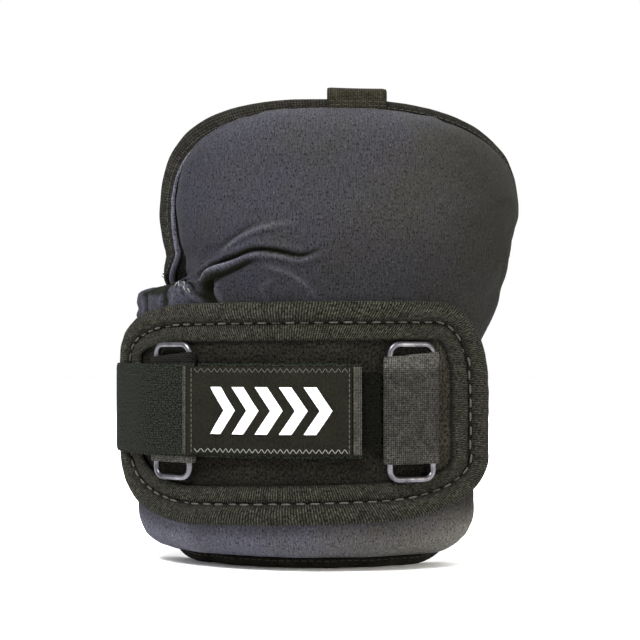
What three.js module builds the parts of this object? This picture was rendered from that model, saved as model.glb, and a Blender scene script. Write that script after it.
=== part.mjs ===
import * as THREE from 'three';

// A padded arm guard: a foam pad in cloth on a thin bound backing, curled round the upper arm,
// with a bound panel on its lower front that carries two wire loops and the arm strap.
// Lengths are millimetres. Heights are from the lower edge that it stands on. An arc is measured
// round the backing's inner face from the front line, to the left when negative.
// A depth is measured outwards from that face. The origin is on the lower edge, at the front line.

// Fabric thicknesses and clearances
const backingThickness = 2;
const tapeThickness = 1;
const webbingThickness = 1;
const elasticThickness = 1.5;
const seamGap = 0.3;
const slotGap = 0.45;
const padGap = 0.6;
const edgeGap = 0.6;

// Curl of the backing
const armRadius = 65;
const flareRadius = 105;
const flareLength = 38;
const flareClearance = 2;

// Outline of the bound backing
const padHeight = 195.5;
const cuffLeftWidth = 88;
const cuffRightWidth = 67.5;
const neckRightWidth = 87.5;
const domeLeftWidth = 74;
const domeRightWidth = 101;
const lowerLeftCorner = 25;
const lowerRightCorner = 25;
const notchHeight = 119;
const shoulderHeight = 148;
const neckLowHeight = 82;
const neckHighHeight = 114;
const riseLowHeight = 122;
const riseHighHeight = 152;
const apexShift = 8.8;
const domeRoundness = 2.6;

// Foam pad
const cuffThickness = 19.3;
const domeThickness = 24;
const rimThickness = 2.5;
const cuffEdgeWidth = 11;
const domeEdgeWidth = 54;
const domeFirmWidth = 13;
const domeSoftness = 0.5;
const softFromWidth = 15;
const softToWidth = 80;
const domeLeftMargin = 5.5;
const lobeHeight = 12;
const flangeWidth = 3.4;
const legClearance = 0.8;
const notchStepHeight = 1.6;
const notchBlendHeight = 30;
const notchBlendShare = 0.25;

// Strap panel and its binding
const panelWidth = 191.5;
const panelCentreOffset = -11.4;
const panelLowHeight = 17.5;
const panelHeight = 92;
const panelThickness = 2;
const panelTopRise = 1.5;
const panelBottomRise = 5;
const panelFrontLeg = 15;
const panelBackLeg = 9;

// Wire loops in their webbing bands
const wireDiameter = 2.7;
const loopTall = 57.3;
const loopWide = 22;
const loopCornerRadius = 4;
const loopLift = 2.1;
const loopTabGap = 1.6;
const loopPatchGap = 0.5;
const bandTall = 44.3;
const bandLift = 3.3;

// Strap, tab and touch fastener
const strapTall = 38.1;
const strapLift = 2.8;
const tabLength = 70;
const tabThickness = 1.5;
const labelLength = 63;
const labelTall = 35.5;
const labelThickness = 0.8;
const patchLength = 56;
const patchTall = 32.5;
const patchThickness = 1.8;
const patchEndOffset = 17.7;
const tabEndOffset = 11.7;
const strapOverlap = 2.2;
const labelGap = 0.6;
const strapBackRadius = 74;

// Hanging loop on the upper edge
const hangerWide = 24;
const hangerOffset = 15;
const hangerTunnel = 3.6;
const hangerFrontLeg = 5;
const hangerBackLeg = 14;

// Corners of the panel, across and up as shares of its width and height
const panelCorners = {
  upperLeft: { across: 0.28, up: 0.24 },
  upperRight: { across: 0.16, up: 0.39 },
  lowerLeft: { across: 0.32, up: 0.36 },
  lowerRight: { across: 0.3, up: 0.26 },
};

// Folds pressed into the dome's cloth. Ends are shares of the dome's left arc and of the pad's
// height, depth and width are shares of the dome's thickness.
const domeFolds = [
  { fromAcross: -0.56, fromUp: 0.6, toAcross: -0.32, toUp: 0.665, depth: 0.17, width: 0.2 },
  { fromAcross: -0.32, fromUp: 0.665, toAcross: -0.04, toUp: 0.662, depth: 0.15, width: 0.18 },
  { fromAcross: -0.14, fromUp: 0.64, toAcross: 0.06, toUp: 0.585, depth: 0.08, width: 0.16 },
  { fromAcross: -0.34, fromUp: 0.705, toAcross: -0.1, toUp: 0.735, depth: 0.06, width: 0.14 },
  { fromAcross: -0.62, fromUp: 0.6, toAcross: -0.5, toUp: 0.565, depth: 0.14, width: 0.2 },
];

// Rows of facets up the outline, and up the pad
const outlineRows = { cornerRows: 6, sideRows: 16, domeRows: 8 };
const padRows = { cornerRows: 5, sideRows: 18, stepRows: 3, domeRows: 9 };

// Depths of the layers, each on the one before
const padInner = backingThickness + padGap;
const cuffOuter = padInner + cuffThickness;
const panelInner = cuffOuter + seamGap + tapeThickness + seamGap;
const panelOuter = panelInner + panelThickness;
const panelTapeOuter = panelOuter + seamGap + tapeThickness;
const bandInner = panelOuter + seamGap;
const wireCentre = bandInner + webbingThickness + seamGap + wireDiameter / 2;
const bandOuter = wireCentre + wireDiameter / 2 + seamGap + webbingThickness;
const patchOuter = panelOuter + seamGap + patchThickness;
const tabInner = patchOuter + seamGap;
const tabOuter = tabInner + tabThickness;
const tabStartArc = tabEndOffset - arcAtDepth(tabLength, tabOuter);
const bandHalfWidth = loopWide / 2 + seamGap + webbingThickness;
const leftLoopArc = tabStartArc - arcAtDepth(loopTabGap + bandHalfWidth, wireCentre);
const rightLoopArc = patchEndOffset + arcAtDepth(loopPatchGap + bandHalfWidth, wireCentre);
const panelMiddleHeight = panelLowHeight + panelHeight / 2;
const loopCentreHeight = panelMiddleHeight + loopLift;
const bandCentreHeight = panelMiddleHeight + bandLift;
const strapCentreHeight = panelMiddleHeight + strapLift;
const flareStart = panelLowHeight + panelHeight + panelTopRise + flareClearance;
const flareEnd = flareStart + flareLength;
const backingInset = tapeThickness + edgeGap;
const padInset = backingInset + flangeWidth;

/** Radius of the backing's inner face at a height. */
function radiusAt(height) {
  return THREE.MathUtils.lerp(armRadius, flareRadius, THREE.MathUtils.smoothstep(height, flareStart, flareEnd));
}

/** Point on the curled pad; the front line stays upright while the sides open out above. */
function place(arc, height, depth) {
  const radius = radiusAt(height);
  const angle = arc / radius;
  const reach = radius + depth;
  const front = radius + backingThickness / 2;
  return new THREE.Vector3(reach * Math.sin(angle), front - reach * Math.cos(angle), height);
}

/** Arc on the backing of a length measured at a depth on the straight cuff. */
function arcAtDepth(length, depth) {
  return (length * armRadius) / (armRadius + depth);
}

/** How far an elliptical corner has left its side at a distance from the end. */
function cornerDrop(distance, across, up) {
  if (distance >= across) {
    return 0;
  }
  const share = 1 - Math.max(distance, 0) / across;
  return up * (1 - Math.sqrt(1 - share * share));
}

/** Share from 0 to 1 that is spaced more closely at both ends. */
function easeEnds(share, amount) {
  return THREE.MathUtils.lerp(share, 0.5 - 0.5 * Math.cos(Math.PI * share), amount);
}

/** Mesh of one closed body with its faces turned outwards. */
function closedMesh(name, points, triangles, material) {
  let volume = 0;
  for (const [a, b, c] of triangles) {
    volume += points[a].dot(new THREE.Vector3().crossVectors(points[b], points[c]));
  }
  const outward = volume < 0 ? triangles.map(([a, b, c]) => [a, c, b]) : triangles;
  const geometry = new THREE.BufferGeometry();
  geometry.setAttribute('position', new THREE.Float32BufferAttribute(points.flatMap((p) => p.toArray()), 3));
  geometry.setIndex(outward.flat());
  geometry.computeVertexNormals();
  const mesh = new THREE.Mesh(geometry, material);
  mesh.name = name;
  return mesh;
}

/** Two triangles of a quad. */
function quad(a, b, c, d) {
  return [[a, b, c], [a, c, d]];
}

/** Solid between an inner and an outer grid; cell(u, v) gives arc, height, inner and outer. */
function gridSolid(name, columns, rows, cell, material) {
  const points = [];
  const across = columns + 1;
  const layer = across * (rows + 1);
  for (const side of ['inner', 'outer']) {
    for (let row = 0; row <= rows; row += 1) {
      for (let column = 0; column <= columns; column += 1) {
        const spot = cell(column / columns, row / rows);
        points.push(place(spot.arc, spot.height, spot[side]));
      }
    }
  }
  const triangles = [];
  for (let row = 0; row < rows; row += 1) {
    for (let column = 0; column < columns; column += 1) {
      const a = row * across + column;
      triangles.push(...quad(a, a + 1, a + 1 + across, a + across));
      triangles.push(...quad(layer + a, layer + a + across, layer + a + across + 1, layer + a + 1));
    }
  }
  const rim = [];
  for (let column = 0; column < columns; column += 1) rim.push(column);
  for (let row = 0; row < rows; row += 1) rim.push(row * across + columns);
  for (let column = columns; column > 0; column -= 1) rim.push(rows * across + column);
  for (let row = rows; row > 0; row -= 1) rim.push(row * across);
  rim.forEach((a, index) => {
    const b = rim[(index + 1) % rim.length];
    triangles.push(...quad(b, a, layer + a, layer + b));
  });
  return closedMesh(name, points, triangles, material);
}

/** Solid through equal sections; a closed one joins its last section to its first. */
function loft(name, sections, closed, material) {
  const count = sections[0].length;
  const points = sections.flat();
  const triangles = [];
  const spans = closed ? sections.length : sections.length - 1;
  for (let span = 0; span < spans; span += 1) {
    const here = span * count;
    const next = ((span + 1) % sections.length) * count;
    for (let index = 0; index < count; index += 1) {
      const after = (index + 1) % count;
      triangles.push(...quad(here + index, here + after, next + after, next + index));
    }
  }
  if (!closed) {
    const flat = flatten(sections[0]);
    const last = (sections.length - 1) * count;
    for (const [a, b, c] of THREE.ShapeUtils.triangulateShape(flat, [])) {
      triangles.push([a, c, b], [last + a, last + b, last + c]);
    }
  }
  return closedMesh(name, points, triangles, material);
}

/** A section's points in its own plane, turned the way that the loft's caps need. */
function flatten(section) {
  const across = new THREE.Vector3().subVectors(section[1], section[0]).normalize();
  let normal = new THREE.Vector3();
  section.forEach((point, index) => {
    normal.add(new THREE.Vector3().crossVectors(point, section[(index + 1) % section.length]));
  });
  normal = normal.normalize();
  const up = new THREE.Vector3().crossVectors(normal, across);
  return section.map((point) => new THREE.Vector2(point.dot(across), point.dot(up)));
}

/** Left and right edge of the backing's outline at a height, moved inwards by an inset. */
function outlineEdges(height, inset) {
  const leftShare = THREE.MathUtils.smoothstep(height, notchHeight, (notchHeight + shoulderHeight) / 2);
  const neckShare = THREE.MathUtils.smoothstep(height, neckLowHeight, neckHighHeight);
  const riseShare = THREE.MathUtils.smoothstep(height, riseLowHeight, riseHighHeight);
  const neck = THREE.MathUtils.lerp(cuffRightWidth, neckRightWidth, neckShare);
  let left = THREE.MathUtils.lerp(cuffLeftWidth, domeLeftWidth, leftShare) - inset;
  let right = THREE.MathUtils.lerp(neck, domeRightWidth, riseShare) - inset;
  const above = height - inset;
  left -= cornerDrop(above, lowerLeftCorner - inset, lowerLeftCorner - inset);
  right -= cornerDrop(above, lowerRightCorner - inset, lowerRightCorner - inset);
  const rise = padHeight - inset - shoulderHeight;
  const share = THREE.MathUtils.clamp((height - shoulderHeight) / rise, 0, 1);
  const narrowing = (1 - share ** domeRoundness) ** (1 / domeRoundness);
  const centre = (right - left) / 2 - apexShift * share ** 3;
  const half = ((right + left) / 2) * narrowing;
  return { left: centre - half, right: centre + half };
}

/** Heights of the rows of an outline: close in the corners and up the dome's round top. */
function outlineHeights(inset, { cornerRows, sideRows, domeRows }) {
  const heights = [];
  const corner = Math.max(lowerLeftCorner, lowerRightCorner) - inset;
  for (let row = 0; row < cornerRows; row += 1) {
    heights.push(inset + corner * (1 - Math.cos((Math.PI / 2) * (row / cornerRows))));
  }
  const cornerTop = inset + corner;
  for (let row = 0; row < sideRows; row += 1) {
    heights.push(THREE.MathUtils.lerp(cornerTop, shoulderHeight, row / sideRows));
  }
  const topShare = 0.985;
  for (let row = 0; row <= domeRows; row += 1) {
    const share = Math.sin((Math.asin(topShare) * row) / domeRows);
    heights.push(shoulderHeight + (padHeight - inset - shoulderHeight) * share);
  }
  return heights;
}

/** The outline as one closed ring of arcs and heights, upwards on the right. */
function outlineRing(inset) {
  const heights = outlineHeights(inset, outlineRows);
  const bottomSteps = 12;
  const topSteps = 6;
  const ring = [];
  const bottom = outlineEdges(heights[0], inset);
  for (let step = 1; step < bottomSteps; step += 1) {
    ring.push({ arc: THREE.MathUtils.lerp(bottom.left, bottom.right, step / bottomSteps), height: heights[0] });
  }
  for (const height of heights) {
    ring.push({ arc: outlineEdges(height, inset).right, height });
  }
  const topHeight = heights[heights.length - 1];
  const top = outlineEdges(topHeight, inset);
  for (let step = 1; step < topSteps; step += 1) {
    ring.push({ arc: THREE.MathUtils.lerp(top.right, top.left, step / topSteps), height: topHeight });
  }
  for (const height of [...heights].reverse()) {
    ring.push({ arc: outlineEdges(height, inset).left, height });
  }
  return ring;
}

/** Tape folded over an edge: the section's corners are insets from the edge and depths. */
function foldedTape(name, ringAt, section, material) {
  const rings = section.map(({ inset }) => ringAt(inset));
  const stations = rings[0].map((_, index) => section.map(({ depth }, corner) => {
    const spot = rings[corner][index];
    return place(spot.arc, spot.height, depth);
  }));
  return loft(name, stations, true, material);
}

/** Thin liner that carries the pad. */
function makeBacking(material) {
  const heights = outlineHeights(backingInset, outlineRows);
  const rows = heights.length - 1;
  return gridSolid('backing', 18, rows, (u, v) => {
    const height = heights[Math.round(v * rows)];
    const edges = outlineEdges(height, backingInset);
    const arc = THREE.MathUtils.lerp(edges.left, edges.right, easeEnds(u, 0.5));
    return { arc, height, inner: 0, outer: backingThickness };
  }, material);
}

/** Tape folded over the backing's whole edge; its lower run is flat and stands on the floor. */
function makeEdgeBinding(material) {
  const leg = padInset - legClearance;
  const slotLow = -slotGap;
  const slotHigh = backingThickness + slotGap;
  return foldedTape('edge_binding', outlineRing, [
    { inset: leg, depth: slotLow - tapeThickness },
    { inset: 0, depth: slotLow - tapeThickness },
    { inset: 0, depth: slotHigh + tapeThickness },
    { inset: leg, depth: slotHigh + tapeThickness },
    { inset: leg, depth: slotHigh },
    { inset: tapeThickness, depth: slotHigh },
    { inset: tapeThickness, depth: slotLow },
    { inset: leg, depth: slotLow },
  ], material);
}

/** Share of the dome's soft edge: whole just above the notch on the left, higher up on the right. */
function domeShare(arc, height) {
  const left = THREE.MathUtils.smoothstep(height, notchHeight, notchHeight + lobeHeight);
  const right = THREE.MathUtils.smoothstep(height, notchHeight, shoulderHeight);
  return THREE.MathUtils.lerp(left, right, THREE.MathUtils.smoothstep(arc, -cuffRightWidth, cuffRightWidth));
}

/** Edges of the foam pad at a height: the outline set in, with a step above the lobe on the left. */
function padEdges(height) {
  const edges = outlineEdges(height, padInset);
  const narrowed = THREE.MathUtils.smoothstep(height, notchHeight, (notchHeight + shoulderHeight) / 2);
  const halfStep = notchStepHeight / 2;
  const above = THREE.MathUtils.smoothstep(height, notchHeight - halfStep, notchHeight + halfStep);
  const step = (cuffLeftWidth - domeLeftWidth) * (1 - narrowed) + domeLeftMargin;
  const blendLow = notchHeight - notchBlendHeight;
  const blend = THREE.MathUtils.smoothstep(height, blendLow, notchHeight + notchBlendHeight);
  return { left: edges.left + step * above, blended: edges.left + step * blend, right: edges.right };
}

/** Arc of a column of the pad; only the columns by the left edge follow the step. */
function padColumn(share, { left, blended, right }) {
  const eased = easeEnds(share, 0.6);
  const near = Math.max(1 - eased / notchBlendShare, 0);
  return THREE.MathUtils.lerp(blended, right, eased) + (left - blended) * near ** 2;
}

/** Heights of the pad's rows, close together across the step. */
function padHeights() {
  const heights = outlineHeights(padInset, padRows).filter((height) => Math.abs(height - notchHeight) > notchStepHeight);
  for (let row = 0; row <= padRows.stepRows; row += 1) {
    heights.push(notchHeight + notchStepHeight * (row / padRows.stepRows - 0.5));
  }
  return heights.sort((a, b) => a - b);
}

/** Distance from a spot to the nearest point of a closed ring. */
function distanceToRing(arc, height, ring) {
  let nearest = Infinity;
  ring.forEach((from, index) => {
    const to = ring[(index + 1) % ring.length];
    nearest = Math.min(nearest, distanceToLine(arc, height, from.arc, from.height, to.arc, to.height));
  });
  return nearest;
}

/** Distance from a spot to a straight stretch. */
function distanceToLine(arc, height, fromArc, fromHeight, toArc, toHeight) {
  const spot = new THREE.Vector3(arc, height, 0);
  const line = new THREE.Line3(new THREE.Vector3(fromArc, fromHeight, 0), new THREE.Vector3(toArc, toHeight, 0));
  return line.closestPointToPoint(spot, true, new THREE.Vector3()).distanceTo(spot);
}

/** Depth that the folds press into the pad at a spot. */
function foldDepth(arc, height) {
  return domeFolds.reduce((sum, fold) => {
    const distance = distanceToLine(arc, height, fold.fromAcross * domeLeftWidth, fold.fromUp * padHeight,
      fold.toAcross * domeLeftWidth, fold.toUp * padHeight);
    const share = distance / (fold.width * domeThickness);
    return sum + fold.depth * domeThickness * Math.exp(-share * share);
  }, 0);
}

/** Foam pad in its cloth: steep rounded edges on the cuff, a soft dome above. */
function makePadBody(material) {
  const heights = padHeights();
  const rows = heights.length - 1;
  const rim = [
    ...heights.map((height) => ({ arc: padEdges(height).right, height })),
    ...[...heights].reverse().map((height) => ({ arc: padEdges(height).left, height })),
  ];
  return gridSolid('pad_body', 30, rows, (u, v) => {
    const height = heights[Math.round(v * rows)];
    const edges = padEdges(height);
    const arc = padColumn(u, edges);
    const rising = THREE.MathUtils.smoothstep(height, flareStart, flareEnd);
    const full = THREE.MathUtils.lerp(cuffThickness, domeThickness, rising);
    const dome = domeShare(arc, height);
    const distance = distanceToRing(arc, height, rim);
    const steep = Math.sqrt(1 - (1 - Math.min(distance / cuffEdgeWidth, 1)) ** 2);
    const firm = Math.sin((Math.PI / 2) * Math.min(distance / domeFirmWidth, 1));
    const soft = Math.sin((Math.PI / 2) * Math.min(distance / domeEdgeWidth, 1));
    const toRight = THREE.MathUtils.smoothstep(arc, softFromWidth, softToWidth);
    const softness = THREE.MathUtils.lerp(domeSoftness, 1, toRight);
    const edge = THREE.MathUtils.lerp(steep, THREE.MathUtils.lerp(firm, soft, softness), dome);
    const raised = (full - rimThickness) * edge;
    const pressed = foldDepth(arc, height) * soft * dome;
    return { arc, height, inner: padInner, outer: padInner + rimThickness + raised - pressed };
  }, material);
}

/** Left edge, width and the upper and lower line of the panel, set in by an inset. */
function panelSpan(share, inset) {
  const depth = panelOuter;
  const width = arcAtDepth(panelWidth, depth);
  const left = panelCentreOffset - width / 2;
  const arc = THREE.MathUtils.lerp(left + inset, left + width - inset, easeEnds(share, 0.75));
  const across = (arc - left) / width;
  const fromLeft = arc - left - inset;
  const fromRight = left + width - inset - arc;
  const drop = (distance, corner) => (
    cornerDrop(distance, corner.across * width - inset, corner.up * panelHeight - inset));
  const { upperLeft, upperRight, lowerLeft, lowerRight } = panelCorners;
  const top = panelLowHeight + panelHeight + panelTopRise * across - inset;
  const bottom = panelLowHeight + panelBottomRise * across + inset;
  return {
    arc,
    top: top - drop(fromLeft, upperLeft) - drop(fromRight, upperRight),
    bottom: bottom + drop(fromLeft, lowerLeft) + drop(fromRight, lowerRight),
  };
}

/** The panel's outline as a closed ring. */
function panelRing(inset) {
  const steps = 28;
  const spans = Array.from({ length: steps + 1 }, (_, index) => panelSpan(index / steps, inset));
  return [
    ...spans.map(({ arc, top }) => ({ arc, height: top })),
    ...[...spans].reverse().map(({ arc, bottom }) => ({ arc, height: bottom })),
  ];
}

/** Rounded panel on the cuff's front. */
function makeStrapPanel(material) {
  return gridSolid('strap_panel', 28, 2, (u, v) => {
    const { arc, top, bottom } = panelSpan(u, backingInset);
    return { arc, height: THREE.MathUtils.lerp(bottom, top, v), inner: panelInner, outer: panelOuter };
  }, material);
}

/** Corners along one leg of a folded tape, from its free edge to the fold or back. */
function legCorners(fromInset, toInset, depth, steps) {
  return Array.from({ length: steps + 1 }, (_, step) => (
    { inset: THREE.MathUtils.lerp(fromInset, toInset, step / steps), depth }));
}

/** Wide woven tape folded over the panel's edge. */
function makePanelBinding(material) {
  const slotLow = panelInner - seamGap;
  const slotHigh = panelOuter + seamGap;
  return foldedTape('panel_binding', panelRing, [
    ...legCorners(panelBackLeg, 0, slotLow - tapeThickness, 2),
    ...legCorners(0, panelFrontLeg, slotHigh + tapeThickness, 3),
    ...legCorners(panelFrontLeg, tapeThickness, slotHigh, 3),
    ...legCorners(tapeThickness, panelBackLeg, slotLow, 2),
  ], material);
}

/** Flat rectangle of cloth that follows the cuff. */
function makeFlatPiece(name, size, material) {
  const columns = Math.max(3, Math.ceil((size.toArc - size.fromArc) / 7));
  return gridSolid(name, columns, 1, (u, v) => ({
    arc: THREE.MathUtils.lerp(size.fromArc, size.toArc, u),
    height: size.centre + (v - 0.5) * size.tall,
    inner: size.inner,
    outer: size.outer,
  }), material);
}

/** Bent wire loop, a rounded rectangle that lies along the cuff. */
function makeWireLoop(name, centreArc, material) {
  const cornerSteps = 4;
  const wireSides = 8;
  const halfArc = arcAtDepth(loopWide - wireDiameter, wireCentre) / 2;
  const halfTall = (loopTall - wireDiameter) / 2;
  const cornerArc = arcAtDepth(loopCornerRadius, wireCentre);
  const corners = [[1, -1, -90], [1, 1, 0], [-1, 1, 90], [-1, -1, 180]];
  const sections = [];
  for (const [right, up, start] of corners) {
    for (let step = 0; step <= cornerSteps; step += 1) {
      const turn = THREE.MathUtils.degToRad(start + (90 * step) / cornerSteps);
      const arc = centreArc + right * (halfArc - cornerArc);
      const height = loopCentreHeight + up * (halfTall - loopCornerRadius);
      sections.push(Array.from({ length: wireSides }, (_, side) => {
        const angle = (2 * Math.PI * side) / wireSides;
        const out = (wireDiameter / 2) * Math.cos(angle);
        return place(
          arc + (cornerArc + arcAtDepth(out, wireCentre)) * Math.cos(turn),
          height + (loopCornerRadius + out) * Math.sin(turn),
          wireCentre + (wireDiameter / 2) * Math.sin(angle),
        );
      }));
    }
  }
  return loft(name, sections, true, material);
}

/** Webbing band that holds both long bars of a wire loop. */
function makeLoopBand(name, centreArc, material) {
  const faceSteps = 4;
  const endSteps = 4;
  const inside = wireDiameter / 2 + seamGap;
  const halfArc = arcAtDepth(loopWide - wireDiameter, wireCentre) / 2;
  const section = (away) => {
    const ring = [];
    for (const side of [1, -1]) {
      for (let step = 0; step <= endSteps; step += 1) {
        const turn = side * (Math.PI / 2) * (1 - (2 * step) / endSteps) * -1;
        const reach = arcAtDepth(away, wireCentre) * Math.cos(turn);
        ring.push([centreArc + side * (halfArc + reach), wireCentre + away * Math.sin(turn)]);
      }
      for (let step = 1; step < faceSteps; step += 1) {
        const arc = centreArc + side * halfArc * (1 - (2 * step) / faceSteps);
        ring.push([arc, wireCentre + side * away]);
      }
    }
    return ring;
  };
  const level = (away, height) => section(away).map(([arc, depth]) => place(arc, height, depth));
  const low = bandCentreHeight - bandTall / 2;
  const high = bandCentreHeight + bandTall / 2;
  const outer = inside + webbingThickness;
  return loft(name, [level(outer, low), level(outer, high), level(inside, high), level(inside, low)], true, material);
}

/** Elastic strap: over the left band, round the panel's left edge and the arm, sewn inside the right edge. */
function makeArmStrap(material) {
  const half = elasticThickness / 2;
  const degrees = THREE.MathUtils.degToRad;
  const panelHalf = arcAtDepth(panelWidth, panelOuter) / 2;
  const panelLeftAngle = (panelCentreOffset - panelHalf) / armRadius;
  const anchorAngle = cuffRightWidth / armRadius - 2 * Math.PI;
  const bandHalfAngle = arcAtDepth(loopWide / 2 + webbingThickness, bandOuter) / armRadius;
  const bandAngle = leftLoopArc / armRadius;
  const overlapAngle = (tabStartArc + arcAtDepth(strapOverlap, tabOuter)) / armRadius;
  const onTab = armRadius + tabOuter + seamGap + half;
  const onBand = armRadius + bandOuter + seamGap + half;
  const onTape = armRadius + panelTapeOuter + seamGap + half;
  const insideEdge = armRadius - slotGap - tapeThickness - seamGap - half;
  const route = [
    { angle: overlapAngle, radius: onTab },
    { angle: bandAngle + bandHalfAngle, radius: onBand },
    { angle: bandAngle, radius: onBand },
    { angle: bandAngle - bandHalfAngle, radius: onBand },
    { angle: panelLeftAngle + degrees(9), radius: onTape + 0.4 },
    { angle: panelLeftAngle, radius: onTape },
    { angle: panelLeftAngle - degrees(5), radius: onTape - elasticThickness },
    { angle: degrees(-110), radius: strapBackRadius + 2 },
    { angle: degrees(-145), radius: strapBackRadius },
    { angle: degrees(-180), radius: strapBackRadius },
    { angle: degrees(-215), radius: strapBackRadius },
    { angle: degrees(-250), radius: strapBackRadius },
    { angle: anchorAngle + degrees(22), radius: insideEdge + (strapBackRadius - insideEdge) / 2 },
    { angle: anchorAngle + degrees(4), radius: insideEdge },
    { angle: anchorAngle - degrees(8), radius: insideEdge },
  ];
  const curve = new THREE.CatmullRomCurve3(route.map(({ angle, radius }) => (
    new THREE.Vector3(radius * Math.sin(angle), armRadius + backingThickness / 2 - radius * Math.cos(angle), 0))));
  const stations = 64;
  const sections = Array.from({ length: stations + 1 }, (_, index) => {
    const centre = curve.getPointAt(index / stations);
    const along = curve.getTangentAt(index / stations);
    const side = new THREE.Vector3(along.y, -along.x, 0).normalize().multiplyScalar(half);
    const low = strapCentreHeight - strapTall / 2;
    return [[-1, 0], [1, 0], [1, 1], [-1, 1]].map(([across, up]) => (
      centre.clone().addScaledVector(side, across).setZ(low + up * strapTall)));
  });
  return loft('arm_strap', sections, false, material);
}

/** Webbing folded over the upper edge, open from side to side. */
function makeHangingLoop(material) {
  const arcSteps = 4;
  const archSteps = 6;
  const bindingTop = padHeight;
  const edgeHigh = backingThickness + slotGap + tapeThickness + seamGap;
  const edgeLow = -slotGap - tapeThickness - seamGap;
  const middle = (edgeHigh + edgeLow) / 2;
  const inside = (edgeHigh - edgeLow) / 2;
  const top = bindingTop + hangerTunnel;
  const arch = (reach, rise) => Array.from({ length: archSteps + 1 }, (_, step) => {
    const turn = (Math.PI * step) / archSteps;
    return [middle + reach * Math.cos(turn), top - inside / 2 + rise * Math.sin(turn)];
  });
  const outer = arch(inside + webbingThickness, inside / 2 + webbingThickness);
  const inner = arch(inside, inside / 2).reverse();
  const backLow = bindingTop - hangerBackLeg;
  const frontLow = bindingTop - hangerFrontLeg;
  const profile = [
    [middle + inside + webbingThickness, frontLow],
    ...outer,
    [middle - inside - webbingThickness, backLow],
    [middle - inside, backLow],
    ...inner,
    [middle + inside, frontLow],
  ];
  const sections = Array.from({ length: arcSteps + 1 }, (_, step) => {
    const arc = hangerOffset + (step / arcSteps - 0.5) * hangerWide;
    return profile.map(([depth, height]) => place(arc, height, depth));
  });
  return loft('hanging_loop', sections, false, material);
}

/** A cloth or metal surface. */
function surface(color, roughness, metalness = 0) {
  return new THREE.MeshStandardMaterial({ color, roughness, metalness });
}

/** The whole pad. */
function makeBicepPad() {
  const coverCloth = surface(0x4a4a55, 0.9);
  const linerCloth = surface(0x1f1f22, 0.95);
  const darkTape = surface(0x2c2b28, 0.9);
  const panelCloth = surface(0x2a2725, 0.95);
  const greyWebbing = surface(0x55545e, 0.85);
  const elastic = surface(0x1b1d1c, 0.9);
  const pile = surface(0x121213, 1);
  const wire = surface(0x8f8f99, 0.35, 1);
  const labelWeave = surface(0x2a2420, 0.8);
  const labelStartArc = tabStartArc + arcAtDepth(strapOverlap + labelGap, tabOuter);

  const pad = new THREE.Group();
  pad.name = 'bicep_pad';
  pad.add(
    makeBacking(linerCloth),
    makeEdgeBinding(darkTape),
    makePadBody(coverCloth),
    makeHangingLoop(darkTape),
    makeStrapPanel(panelCloth),
    makePanelBinding(darkTape),
    makeWireLoop('ring_left', leftLoopArc, wire),
    makeWireLoop('ring_right', rightLoopArc, wire),
    makeLoopBand('ring_band_left', leftLoopArc, greyWebbing),
    makeLoopBand('ring_band_right', rightLoopArc, greyWebbing),
    makeFlatPiece('loop_patch', {
      fromArc: patchEndOffset - arcAtDepth(patchLength, patchOuter),
      toArc: patchEndOffset,
      centre: strapCentreHeight,
      tall: patchTall,
      inner: panelOuter + seamGap,
      outer: patchOuter,
    }, pile),
    makeFlatPiece('hook_tab', {
      fromArc: tabStartArc,
      toArc: tabEndOffset,
      centre: strapCentreHeight,
      tall: strapTall,
      inner: tabInner,
      outer: tabOuter,
    }, elastic),
    makeFlatPiece('tab_label', {
      fromArc: labelStartArc,
      toArc: labelStartArc + arcAtDepth(labelLength, tabOuter),
      centre: strapCentreHeight,
      tall: labelTall,
      inner: tabOuter + seamGap,
      outer: tabOuter + seamGap + labelThickness,
    }, labelWeave),
    makeArmStrap(elastic),
  );
  return pad;
}

export default makeBicepPad();
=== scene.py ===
import logging
import math
from dataclasses import dataclass, field
from enum import Enum

import bmesh
import bpy
import numpy as np
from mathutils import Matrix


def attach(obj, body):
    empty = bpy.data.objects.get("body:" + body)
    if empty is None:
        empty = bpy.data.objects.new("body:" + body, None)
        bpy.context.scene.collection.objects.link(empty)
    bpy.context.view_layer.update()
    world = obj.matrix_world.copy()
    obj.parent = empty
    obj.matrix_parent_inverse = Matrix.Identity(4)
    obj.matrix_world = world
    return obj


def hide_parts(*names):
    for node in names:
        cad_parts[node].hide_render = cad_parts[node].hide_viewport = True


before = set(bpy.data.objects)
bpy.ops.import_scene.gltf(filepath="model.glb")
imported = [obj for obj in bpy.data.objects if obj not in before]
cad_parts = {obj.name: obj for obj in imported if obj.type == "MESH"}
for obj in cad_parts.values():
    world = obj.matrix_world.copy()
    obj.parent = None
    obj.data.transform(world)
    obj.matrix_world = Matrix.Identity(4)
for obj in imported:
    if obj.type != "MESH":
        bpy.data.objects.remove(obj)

# A padded arm guard in heathered cloth on a thin bound liner, curled round the upper arm, with a
# bound strap panel, two wire loops in webbing bands, an elastic strap with a labelled tab, a pile
# patch and a webbing loop on top. Sizes are millimetres; meshes are metres. Heights are from the
# lower edge, arcs are measured round the liner's inner face from the front line, depths outwards.

Array = np.ndarray
Piece = bpy.types.Object
Socket = bpy.types.NodeSocket
Triple = tuple[float, float, float]
Span = tuple[float, float]
LOG = logging.getLogger("bicep_pad")
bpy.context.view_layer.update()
MM = 0.001
BODY = "root"
UV_NAME = "cloth"
LIGHT_SHADE_MAP = "light_and_shade"


def smoothstep(value: Array, low: float, high: float) -> Array:
    """Rise smoothly from 0 at low to 1 at high: 3t^2 - 2t^3.

    Args:
        value: where to look.
        low: start of the rise.
        high: end of the rise.

    Returns:
        The share, the same shape as value.
    """
    share = np.clip((np.asarray(value, float) - low) / (high - low), 0.0, 1.0)
    return share * share * (3.0 - 2.0 * share)


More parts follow.
